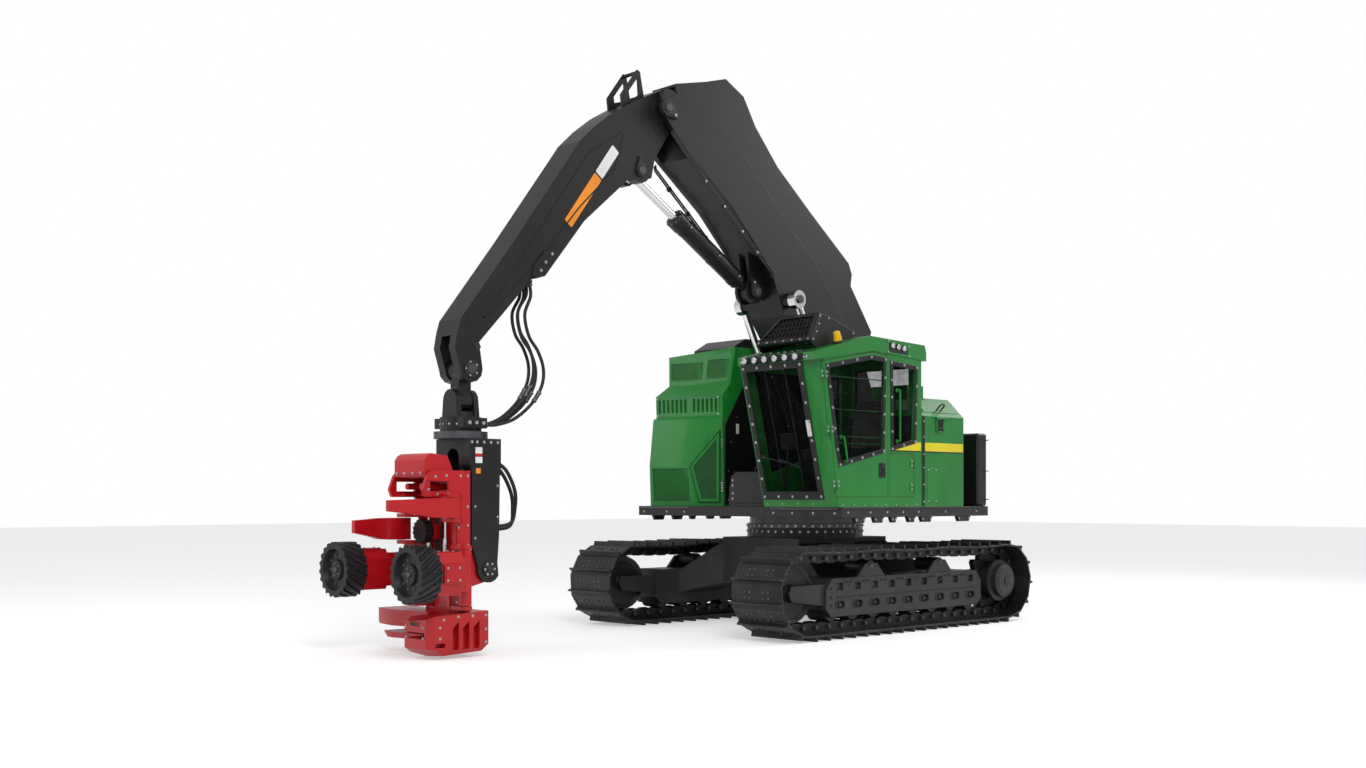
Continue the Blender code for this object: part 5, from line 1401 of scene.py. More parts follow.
# Left rear compartment
def addCompartmentDetail():
    face = leftFace
    bm = bmesh.new()
    addPlate(bm, face, rect(-0.170, 1.390, -0.212, 2.400), 0.0004, 0.006)
    addPiece("cornerStrip", bm, "blackPaint", "upper")
    bm = bmesh.new()
    for z in (1.44, 1.63, 1.82, 1.97, 2.16, 2.34):
        addBoltOn(bm, face, -0.191, z, 0.006, 0.008)
    lid = rounded(rect(-0.255, 1.425, -0.440, 1.815), 0.03)
    addBolts(bm, face, ((-0.275, 1.445), (-0.275, 1.795), (-0.42, 1.795), (-0.42, 1.445)), 0.0035, 0.007)
    addPiece("compartmentBolts", bm, "boltSteel", "upper")
    bm = bmesh.new()
    addPlate(bm, face, lid, 0.0004, 0.0035, 0.001)
    cup = rounded(rect(-0.42, 2.215, -0.565, 2.385), 0.02)
    addFrame(bm, face, cup, shrunk(cup, 0.020), 0.0004, 0.016, 0.004)
    hood = rect(-0.405, 2.375, -0.580, 2.392)
    addPlate(bm, face, hood, 0.0004, 0.030, 0.004)
    addPiece("compartmentLatchCup", bm, "greenPaint", "upper")
    bm = bmesh.new()
    addPlate(bm, face, shrunk(cup, 0.020), 0.0004, 0.003, 0.001)
    addPlate(bm, face, rect(-0.455, 2.25, -0.53, 2.29), 0.003, 0.012)
    addPiece("compartmentLatch", bm, "darkPlastic", "upper")
    slopeOut = Vector((0, 0.22, 0.22)).normalized()
    slope = panel((0, 1.60, 2.40), (1, 0, 0), Vector((0, -1, 1)).normalized(), slopeOut)
    bm = bmesh.new()
    run = [on(slope, -0.60, 0.10, 0.0), on(slope, -0.60, 0.10, 0.10), on(slope, -0.52, 0.10, 0.10),
           on(slope, -0.52, 0.10, 0.0)]
    addTube(bm, rounded(run, 0.035, 5, closed=False), 0.009, 10)
    addPiece("compartmentLoop", bm, "blackPaint", "upper")
    bm = bmesh.new()
    addPlate(bm, slope, rounded(rect(-0.90, 0.06, -0.26, 0.27), 0.02), 0.0004, 0.006)
    addPiece("compartmentLid", bm, "greenPaint", "upper")


addCompartmentDetail()
print("stage: compartment")

# Right-hand housing: screens, louvres, hinges, the inner wall, and black sheets of painted shade on that wall
# and behind the screens, louvres, grille and vents
chamferFace = panel(chamferCorner, chamferAlong, (0, 0, 1), chamferOut)


def facePanel(right, left, low, high):
    corner = Vector((housingFront(right, low), right, low))
    across = (Vector((housingFront(left, low), left, low)) - corner) / (left - right)
    up = (Vector((housingFront(right, high), right, high)) - corner) / (high - low)
    return panel(corner - across * right - up * low, across, up, across.cross(up))


def addHousingDetail():
    # The black plates on the floors of the screen pockets and louvre slots are painted shade
    backShade, bars = bmesh.new(), bmesh.new()
    for i, (right, left, low, high) in enumerate(housingScreens):
        face = facePanel(right, left, low, high)
        loop = rect(right + 0.003, low + 0.003, left - 0.003, high - 0.003)
        addPlate(backShade, face, loop, -0.0195, -0.0175, 0.0004)
        pitch = 0.011 if i == 0 else 0.014
        addScreen(bars, face, loop, pitch, pitch * 0.42, 0.004, lift=-0.010)
    first, last, count = housingEdges["right"] + 0.06, housingEdges["inner"] - 0.08, 14
    for i in range(count):
        y = first + (last - first) * i / (count - 1)
        if i != count // 2:
            face = facePanel(y - 0.016, y + 0.016, 2.51, 2.67)
            addPlate(backShade, face, rect(y - 0.0155, 2.5105, y + 0.0155, 2.6695),
                     -0.0215, -0.0185, 0.0004)
            addPlate(bars, face, rect(y + 0.002, 2.5105, y + 0.006, 2.6695),
                     -0.0180, -0.003, 0.0006)
    addPiece("housingBackShade", backShade, "blackPaint", "upper")
    addPiece("housingScreens", bars, "greenPaint", "upper")
    rim, bolts = bmesh.new(), bmesh.new()
    band = facePanel(-1.585, -0.725, 2.455, 2.705)
    loop = rect(-1.585, 2.462, -0.722, 2.703)
    addFrame(rim, band, loop, shrunk(loop, 0.012), 0.0004, 0.005, 0.001)
    for right, left, low, high in housingScreens:
        face = facePanel(right, left, low, high)
        loop = rect(right, low, left, high)
        addFrame(rim, face, shrunk(loop, -0.014), shrunk(loop, -0.001), 0.0004, 0.003, 0.001)
    addBolts(bolts, band, ((-1.57, 2.685), (-0.735, 2.685), (-1.57, 2.48), (-0.735, 2.48)), 0.005, 0.007)
    addPiece("housingRims", rim, "greenPaint", "upper")
    addPiece("housingBolts", bolts, "boltSteel", "upper")
    frame, back, screen, hinge, screws = [bmesh.new() for k in range(5)]
    mesh = shrunk(grilleOutline, 0.038)
    addFrame(frame, chamferFace, grilleOutline, mesh, 0.0204, 0.032, 0.003)
    # The black plate just behind the grille mesh is painted shade
    addPlate(back, chamferFace, mesh, 0.0203, 0.0215, 0.0003)
    addScreen(screen, chamferFace, mesh, 0.017, 0.0050, 0.004, (50.0, -50.0), 0.0235)
    addPiece("grilleFrame", frame, "greenPaint", "grille_door")
    addPiece("grilleBackShade", back, "blackPaint", "grille_door")
    addPiece("grilleScreen", screen, "greenPaint", "grille_door")
    for level in (2.12, 1.60):
        for k in range(4):
            addBolt(screws, on(chamferFace, 0.018, level - 0.036 + 0.024 * k * 1.3, 0.0015), chamferOut,
                    0.008)
        addPlate(hinge, chamferFace, rounded(rect(0.006, level - 0.06, 0.030, level + 0.08), 0.006), 0.0004,
                 0.0015, 0.0004)
    addPiece("grilleHingeStrip", hinge, "blackPaint", "upper")
    addPiece("grilleHingeBolts", screws, "boltSteel", "upper")
    # The black sheet over the green inner side wall is painted shade; its bolts and label sit on it
    wall, marks, label = bmesh.new(), bmesh.new(), bmesh.new()
    side = sideFace(housingEdges["inner"])
    loop = [(0.655, 1.395), (0.655, 2.36), (0.28, 2.93), (-0.10, 3.24), (-1.17, 3.24), (-1.17, 1.395)]
    addPlate(wall, side, loop, 0.0004, 0.0030, 0.001)
    addPiece("innerWallShade", wall, "blackPaint", "upper")
    addBolts(marks, side, ((0.60, 1.45), (0.60, 1.80), (0.55, 2.15), (0.45, 2.45), (0.30, 2.75), (0.05, 3.00),
                           (-0.3, 3.18),
                 (-0.7, 3.18), (-1.1, 3.18), (-1.1, 2.6), (-1.1, 2.0)), 0.003, 0.007)
    addPiece("innerWallBolts", marks, "boltSteel", "upper")
    addPlate(label, side, rounded(rect(0.42, 2.25, 0.47, 2.37), 0.004), 0.003, 0.0042, 0.0004)
    addPiece("innerWallPlate", label, "whitePlate", "upper")


def addHoodDetail():
    bm, bolts = bmesh.new(), bmesh.new()
    right = sideFace(-1.60, -1)
    doors = [(-1.16, -0.62), (-0.58, -0.06), (-0.02, 0.50)]
    for rear, front in doors:
        loop = rounded(rect(rear, 1.44, front, 2.38), 0.03)
        addPlate(bm, right, loop, 0.0004, 0.007, 0.003)
        for z in (1.62, 2.20):
            addPlate(bm, right, rounded(rect(rear - 0.016, z - 0.05, rear + 0.05, z + 0.05), 0.008), 0.007,
                     0.012)
            for lift in (-0.028, 0.028):
                addBoltOn(bolts, right, rear + 0.026, z + lift, 0.012, 0.008)
    addPiece("housingDoors", bm, "greenPaint", "upper")
    addPiece("housingDoorBolts", bolts, "boltSteel", "upper")
    bm = bmesh.new()
    for rear, front in doors:
        addPlate(bm, right, rounded(rect(front - 0.11, 1.86, front - 0.05, 1.98), 0.01), 0.007, 0.013)
    addPiece("housingDoorLatches", bm, "darkPlastic", "upper")
    # The black plates behind the door vent screens are painted shade
    back, screen = bmesh.new(), bmesh.new()
    for rear, front in doors[:2]:
        loop = rect(rear + 0.08, 2.06, front - 0.16, 2.30)
        addPlate(back, right, loop, 0.0071, 0.0085, 0.0004)
        addScreen(screen, right, loop, 0.024, 0.011, 0.006, (0.0,), 0.0085)
        addFrame(screen, right, shrunk(loop, -0.014), loop, 0.0071, 0.015)
    addPiece("housingVentShade", back, "blackPaint", "upper")
    addPiece("housingVents", screen, "greenPaint", "upper")
    bm = bmesh.new()
    rear = frontFace(-1.20, -1)
    loop = rect(-1.50, 1.60, -0.80, 2.95)
    addFrame(bm, rear, shrunk(loop, -0.02), loop, 0.0004, 0.012, 0.003)
    addScreen(bm, rear, loop, 0.045, 0.020, 0.010, (0.0,), 0.0012)
    addPiece("radiatorScreen", bm, "greenPaint", "upper")
    # The black plate under the radiator screen is painted shade
    bm = bmesh.new()
    addPlate(bm, rear, loop, 0.0004, 0.0012, 0.0003)
    addPiece("radiatorBackShade", bm, "blackPaint", "upper")


addHousingDetail()
addHoodDetail()
print("stage: housing")

# Tracks: bolts on every shoe, pin ends on the links, covers and caps
trackLook = {
    "gauge": 1.32, "halfSpread": 1.80, "wheel": 0.49, "pitchRadius": 0.37, "carrierAt": 0.62, "sag": 0.02,
    "pitch": 0.203, "plate": 0.073, "width": 0.70, "frameHalf": 0.20,
    "nose": 1.38, "tail": -1.41, "ovals": 9,
}


def pitchLine(look):
    reach, wheel, radius = look["halfSpread"], look["wheel"], look["pitchRadius"]
    line = [(-reach + 2 * reach * i / 48, wheel - radius) for i in range(49)]
    line += arc((reach, wheel), radius, -90, 90, 49)[1:]
    spans = [reach, look["carrierAt"], -look["carrierAt"], -reach]
    for first, second in zip(spans, spans[1:]):
        for i in range(1, 17):
            share = i / 16
            line.append((first + (second - first) * share,
                         wheel + radius - 4 * look["sag"] * share * (1 - share)))
    return line + arc((-reach, wheel), radius, 90, 270, 49)[1:]


def evenly(line, step):
    lengths = [math.dist(a, b) for a, b in zip(line, line[1:])]
    count = round(sum(lengths) / step)
    step = sum(lengths) / count
    points, walked, i = [], 0.0, 0
    for k in range(count):
        while walked + lengths[i] < k * step:
            walked += lengths[i]
            i += 1
        share = (k * step - walked) / lengths[i]
        a, b = line[i], line[i + 1]
        points.append((a[0] + (b[0] - a[0]) * share, a[1] + (b[1] - a[1]) * share))
    return points


def addTrackDetail(name, middle, side):
    look = trackLook
    links = evenly(pitchLine(look), look["pitch"])
    bolts, pins, seams = bmesh.new(), bmesh.new(), bmesh.new()
    for i, start in enumerate(links):
        end = links[(i + 1) % len(links)]
        length = math.dist(start, end)
        along = ((end[0] - start[0]) / length, (end[1] - start[1]) / length)
        out = Vector((along[1], 0, -along[0]))

        def spot(share, reach, y):
            return Vector((start[0] + along[0] * share * length, y,
                           start[1] + along[1] * share * length)) + out * reach

        for offset in (-0.165, -0.095, 0.095, 0.165):
            for share in (0.48, 0.80):
                addBolt(bolts, spot(share, look["plate"] - 0.0005, middle + offset), out, 0.011)
        for edge in (-1, 1):
            y = middle + edge * (look["width"] / 2 - 0.022)
            addPlate(seams, panel(spot(0.5, look["plate"], y), (along[0], 0, along[1]), (0, 1, 0), out),
                     rect(-0.035, -0.016, 0.075, 0.016), -0.0005, 0.004, 0.001)
        for edge in (-1, 1):
            addDisc(pins, spot(0.0, 0.0, middle + edge * 0.125), (0, edge, 0), 0.024, -0.004, 0.007, 12)
    addPiece(name + "Bolts", bolts, "darkSteel", "undercarriage")
    addPiece(name + "Pins", pins, "darkSteel", "undercarriage")
    addPiece(name + "ShoeLips", seams, "trackSteel", "undercarriage")
    face = sideFace(middle + side * look["frameHalf"], side)
    # shade holds black plates of painted shade on the floors of the frame's oval and square hollows
    shade, screws, plates = bmesh.new(), bmesh.new(), bmesh.new()
    first, last = look["tail"] + 0.22, look["nose"] - 0.22
    for i in range(look["ovals"]):
        x = first + (last - first) * i / (look["ovals"] - 1)
        oval = arc((x + 0.045, 0.35), 0.035, -90, 90, 7) + arc((x - 0.045, 0.35), 0.035, 90, 270, 7)
        addPlate(shade, face, shrunk(oval, 0.003), -0.0295, -0.0270, 0.0005)
        addFrame(plates, face, shrunk(oval, -0.012), shrunk(oval, -0.001), 0.0004, 0.004, 0.001)
        addDisc(screws, on(face, x - 0.03, 0.345, -0.027), face[3], 0.022, 0.0, 0.010, 16)
        addBoltOn(screws, face, x - 0.03, 0.345, -0.017, 0.010)
        if i < look["ovals"] - 1:
            x += (last - first) / (look["ovals"] - 1) / 2
            hole = rect(x - 0.053, 0.503, x + 0.053, 0.577)
            addPlate(shade, face, hole, -0.0295, -0.0270, 0.0005)
            addPlate(plates, face, rect(x - 0.055, 0.582, x + 0.055, 0.592),
                     0.0004, 0.014, 0.003)
            for lift in (-0.068, 0.068):
                addBoltOn(screws, face, x + lift, 0.60, 0.0004, 0.007)
    addPlate(plates, face, rect(first - 0.10, 0.425, last + 0.06, 0.440),
             0.0004, 0.006, 0.002)
    for z in (0.34, 0.43, 0.52):
        addBoltOn(screws, face, look["nose"] - 0.09, z, 0.0124, 0.012)
    for x, z in ((1.0, 0.60), (0.62, 0.605), (0.2, 0.605), (-0.2, 0.605), (-0.62, 0.605), (-1.15, 0.60)):
        addBoltOn(screws, face, x, z - 0.055, 0.0004, 0.008)
    hub = Vector((-look["halfSpread"], middle + side * 0.30, look["wheel"]))
    axle = (-look["halfSpread"], look["wheel"])
    addBoltCircle(screws, sideFace(middle + side * 0.2755, side), axle, 0.175, 16, 0.0, 0.010)
    addBoltCircle(screws, sideFace(middle + side * 0.30, side), axle, 0.085, 8, 0.0, 0.010, 0.5)
    addDisc(plates, hub, (0, side, 0), 0.055, 0.0, 0.012, 24, 0.9)
    addPiece(name + "FrameHollowShade", shade, "blackPaint", "undercarriage")
    addPiece(name + "FrameRims", plates, "blackPaint", "undercarriage")
    addPiece(name + "FrameBolts", screws, "darkSteel", "undercarriage")
    bm = bmesh.new()
    for x in (-look["carrierAt"], look["carrierAt"]):
        addDisc(bm, (x, middle + side * 0.1905, 0.746), (0, side, 0), 0.022, 0.0, 0.006, 16)
    for spot in spread((look["tail"] + 0.16, middle + side * 0.1305, 0.235),
                       (look["nose"] - 0.16, middle + side * 0.1305, 0.235), 9):
        addDisc(bm, spot, (0, side, 0), 0.028, -0.002, 0.010, 14, 0.8)
    addPiece(name + "Caps", bm, "darkSteel", "undercarriage")


for sideName, sideSign in (("leftTrack", 1), ("rightTrack", -1)):
    addTrackDetail(sideName, sideSign * trackLook["gauge"], sideSign)
print("stage: tracks")

# Slew ring bolts, car body covers, deck edge and counterweight
deckLook = {"half": 1.60, "front": 1.22,
            "brackets": [(1.015, 0.82), (0.695, 0.51), (0.40, 0.28), (0.10, -0.05), (-0.14, -0.355),
                         (-0.83, -1.09)]}


def addDeckDetail():
    bm = bmesh.new()
    addBoltRing(bm, (0, 0, 1.155), 0.6855, 44, 0.010)
    addPiece("slewBolts", bm, "boltSteel", "upper")
    bm = bmesh.new()
    addBoltRing(bm, (0, 0, 1.09), 0.6855, 44, 0.010, 0.5)
    addPiece("raceBolts", bm, "boltSteel", "undercarriage")
    bm, bolts = bmesh.new(), bmesh.new()
    for side in (-1, 1):
        face = sideFace(side * deckLook["half"], side)
        for front, rear in deckLook["brackets"]:
            for x in (front - 0.035, rear + 0.035):
                addBoltOn(bolts, face, x, 1.245, 0.0004, 0.009)
        for x in (1.12, 0.75, 0.46, 0.18, -0.10, -0.60, -1.20):
            addBoltOn(bolts, face, x, 1.325, 0.0004, 0.009)
        addPlate(bm, face, rect(1.20, 1.362, -1.25, 1.374), 0.0004, 0.005, 0.001)
        addPlate(bm, face, rect(1.20, 1.276, -1.25, 1.286), 0.0004, 0.004, 0.001)
    addPiece("deckEdges", bm, "blackPaint", "upper")
    front = frontFace(deckLook["front"])
    bm = bmesh.new()
    for left, right in ((1.55, 0.58), (-0.72, -1.55)):
        addPlate(bm, front, rect(left, 1.352, right, 1.378), 0.0004, 0.010, 0.003)
    for y in (1.5, 1.2, 0.9, 0.62, -0.8, -1.1, -1.5):
        addBoltOn(bolts, front, y, 1.315, 0.0004, 0.009)
    addPiece("deckFrontStrips", bm, "darkSteel", "upper")
    addPiece("deckBolts", bolts, "boltSteel", "upper")
    bm = bmesh.new()
    for y in (-0.155, 0.49):
        addTube(bm, [(0.62, y * 0.98, 1.7765), (1.06, y * 0.98, 1.7765)], 0.005, 8)
    run = [(0.66, 0.16, 1.775), (0.66, 0.16, 1.835), (1.02, 0.16, 1.835), (1.02, 0.16, 1.775)]
    addTube(bm, rounded(run, 0.03, 5, closed=False), 0.009, 10)
    box = frontFace(1.12)
    addPlate(bm, box, rounded(rect(-0.13, 1.42, 0.46, 1.735), 0.02), 0.0004, 0.006)
    addPiece("serviceBoxTrim", bm, "greyPaint", "upper")
    bm = bmesh.new()
    for z in (1.47, 1.53, 1.62, 1.68):
        for y in (-0.10, 0.43):
            addBoltOn(bm, box, y, z, 0.006, 0.009)
    addPiece("serviceBoxBolts", bm, "boltSteel", "upper")
    bm = bmesh.new()
    plan = arc((0, 0), 2.2, 133.5, 226.5, 41)
    for z in (1.46, 1.80, 2.17):
        line = [(x * 1.0015, y * 1.0015, z) for x, y in plan if abs(y) < 1.52]
        addTube(bm, line, 0.006, 6)
    addPiece("counterweightSeams", bm, "blackPaint", "upper")


addDeckDetail()
print("stage: deck")

# Boom and stick: caps, clamps, plates, hose line
armLook = {"middle": -0.15, "stickHalf": 0.18, "foot": (4.83, 2.72)}


def capLoop(pin, radius, turn, reach=0.16):
    tip = (pin[0] + reach * math.cos(math.radians(turn)), pin[1] + reach * math.sin(math.radians(turn)))
    return arc(pin, radius, turn + 60, turn + 300, 21) + [tip]


def addArmDetail():
    middle = armLook["middle"]
    caps, pins, bolts = bmesh.new(), bmesh.new(), bmesh.new()
    stickCaps, stickPins, stickBolts = bmesh.new(), bmesh.new(), bmesh.new()
    for side in (-1, 1):
        for pin, turn, half in (((2.36, 5.66), 215, 0.306), ((0.81, 3.86), 60, 0.147)):
            face = sideFace(middle + side * half, side)
            addPlate(caps, face, shrunk(capLoop(pin, 0.075, turn), 0.006), 0.0004, 0.006)
            addDisc(pins, on(face, *pin, 0.006), face[3], 0.046, 0.0, 0.010, 24, 0.92)
            tip = on(face, pin[0] + 0.115 * math.cos(math.radians(turn)),
                     pin[1] + 0.115 * math.sin(math.radians(turn)), 0.006)
            addBolt(bolts, tip, face[3], 0.010)
        half = armLook["stickHalf"] + 0.012
        face = sideFace(middle + side * half, side)
        addPlate(stickCaps, face, shrunk(capLoop((2.65, 4.96), 0.073, 79, 0.15), 0.008), 0.0004, 0.006)
        addDisc(stickPins, on(face, 2.65, 4.96, 0.006), face[3], 0.044, 0.0, 0.010, 24, 0.92)
        addBolts(stickBolts, face, ((3.86, 3.93), (3.94, 3.84), (4.00, 3.75)), 0.0004, 0.011)
        face = sideFace(middle + side * armLook["stickHalf"], side)
        addDisc(stickCaps, on(face, *armLook["foot"]), face[3], 0.085, 0.0004, 0.010, 32, 0.95)
        addDisc(stickPins, on(face, *armLook["foot"], 0.010), face[3], 0.050, 0.0, 0.010, 24, 0.92)
        addBoltCircle(stickBolts, face, armLook["foot"], 0.068, 5, 0.010, 0.007)
        addPlate(stickCaps, face, rounded([(4.72, 2.93), (4.78, 2.90), (4.81, 2.96), (4.75, 2.99)], 0.01),
                 0.0004, 0.006)
    addPiece("boomCaps", caps, "greyPaint", "boom")
    addPiece("boomPins", pins, "darkSteel", "boom")
    addPiece("boomCapBolts", bolts, "boltSteel", "boom")
    addPiece("stickCaps", stickCaps, "greyPaint", "stick")
    addPiece("stickPins", stickPins, "darkSteel", "stick")
    addPiece("stickBolts", stickBolts, "boltSteel", "stick")
    left = sideFace(middle + 0.18)
    ridge = bmesh.new()
    for side in (-1, 1):
        face = sideFace(middle + side * 0.18, side)
        pressing = rounded([(2.86, 5.36), (3.38, 5.03), (4.20, 3.90), (4.72, 3.20), (4.62, 3.25),
                            (4.06, 3.78),
                            (3.50, 4.44), (3.00, 4.92)], 0.10, 5)
        addFrame(ridge, face, pressing, shrunk(pressing, 0.016), 0.0004, 0.004, 0.0015)
    addPiece("stickPressings", ridge, "blackPaint", "stick")
    for name, loop, finish in (("stickOrangePlate", [(3.60, 4.23), (3.69, 4.30), (3.29, 4.84), (3.20, 4.77)],
                                "orangePlate"),
                               ("stickWhitePlate", [(3.19, 4.785), (3.28, 4.855), (3.05, 5.165),
                                                    (2.96, 5.095)], "whitePlate")):
        bm = bmesh.new()
        addPlate(bm, left, rounded(loop, 0.018), 0.0004, 0.0020, 0.0006)
        addPiece(name, bm, finish, "stick")
    guards, clamps, clampBolts = bmesh.new(), bmesh.new(), bmesh.new()
    for side in (-1, 1):
        face = sideFace(middle + side * 0.275, side)
        line = [(2.02, 5.13), (1.81, 4.955), (1.52, 4.715), (1.235, 4.475), (0.99, 4.27), (0.74, 4.06)]
        for lift in (0.014, 0.044):
            drop = 0.020 if lift > 0.03 else 0.0
            run = [on(face, u - drop, v + drop, 0.016) for u, v in line]
            run = [on(face, line[0][0] - drop + 0.03, line[0][1] + drop + 0.04, -0.008)] + run
            run += [on(face, line[-1][0] - drop - 0.03, line[-1][1] + drop - 0.04, -0.008)]
            addTube(guards, run, 0.010, 10)
        for u, v in line[1:-1]:
            block = [(u - 0.045, v - 0.004), (u + 0.004, v - 0.034), (u + 0.030, v + 0.002),
                     (u - 0.019, v + 0.034)]
            addPlate(clamps, face, block, 0.0004, 0.030, 0.004)
            addBoltOn(clampBolts, face, u - 0.008, v, 0.030, 0.010)
    addPiece("boomHoseLines", guards, "hoseRubber", "boom")
    addPiece("boomClamps", clamps, "greyPaint", "boom")
    addPiece("boomClampBolts", clampBolts, "boltSteel", "boom")


cylinders = [
    # name, barrel, rod, barrel's pin, rod's pin, across, barrel radius, barrel length
    ("liftLeft", "lift_barrel_left", "lift_rod_left", (-0.62, 1.64), (0.46, 3.77), 0.28, 0.08, 1.62),
    ("liftRight", "lift_barrel_right", "lift_rod_right", (-0.62, 1.64), (0.46, 3.77), -0.58, 0.08, 1.62),
    ("crowd", "crowd_barrel", "crowd_rod", (0.81, 3.86), (2.65, 4.96), -0.15, 0.10, 1.35),
]


def addCylinderDetail(name, body, rodBody, base, pin, middle, barrel, length):
    start, end = Vector((base[0], middle, base[1])), Vector((pin[0], middle, pin[1]))
    along = (end - start).normalized()
    side = Vector((0, 1, 0))
    up = along.cross(side)
    bm, bolts = bmesh.new(), bmesh.new()
    for at in (0.30, length * 0.5, length - 0.16):
        addDisc(bm, start + along * at, along, barrel * 1.035, -0.020, 0.020, 28)
        for turn in (1, -1):
            spot = start + along * at + side * turn * barrel * 1.035
            addBolt(bolts, spot, side * turn, 0.009)
    addDisc(bm, start + along * (length + 0.03), along, barrel * 0.80, 0.0, 0.012, 28, 0.8)
    line = [start + along * 0.24 + up * (barrel + 0.002), start + along * 0.28 + up * (barrel + 0.018),
            start + along * (length - 0.20) + up * (barrel + 0.018),
            start + along * (length - 0.08) + up * (barrel + 0.012)]
    addTube(bm, line, 0.012, 10)
    for k in range(8):
        turn = 2 * math.pi * k / 8
        out = side * math.cos(turn) + up * math.sin(turn)
        addBolt(bolts, start + along * (length + 0.0302) + out * barrel * 0.93, along, 0.007)
    addPiece(name + "Bands", bm, "blackPaint", body)
    addPiece(name + "Bolts", bolts, "boltSteel", body)
    bm = bmesh.new()
    for turn in (1, -1):
        addDisc(bm, end, side * turn, 0.050, 0.030, 0.072, 24, 0.95)
    addPiece(name + "Eye", bm, "darkSteel", rodBody)


addArmDetail()
for cylinderRow in cylinders:
    addCylinderDetail(*cylinderRow)
print("stage: arm")

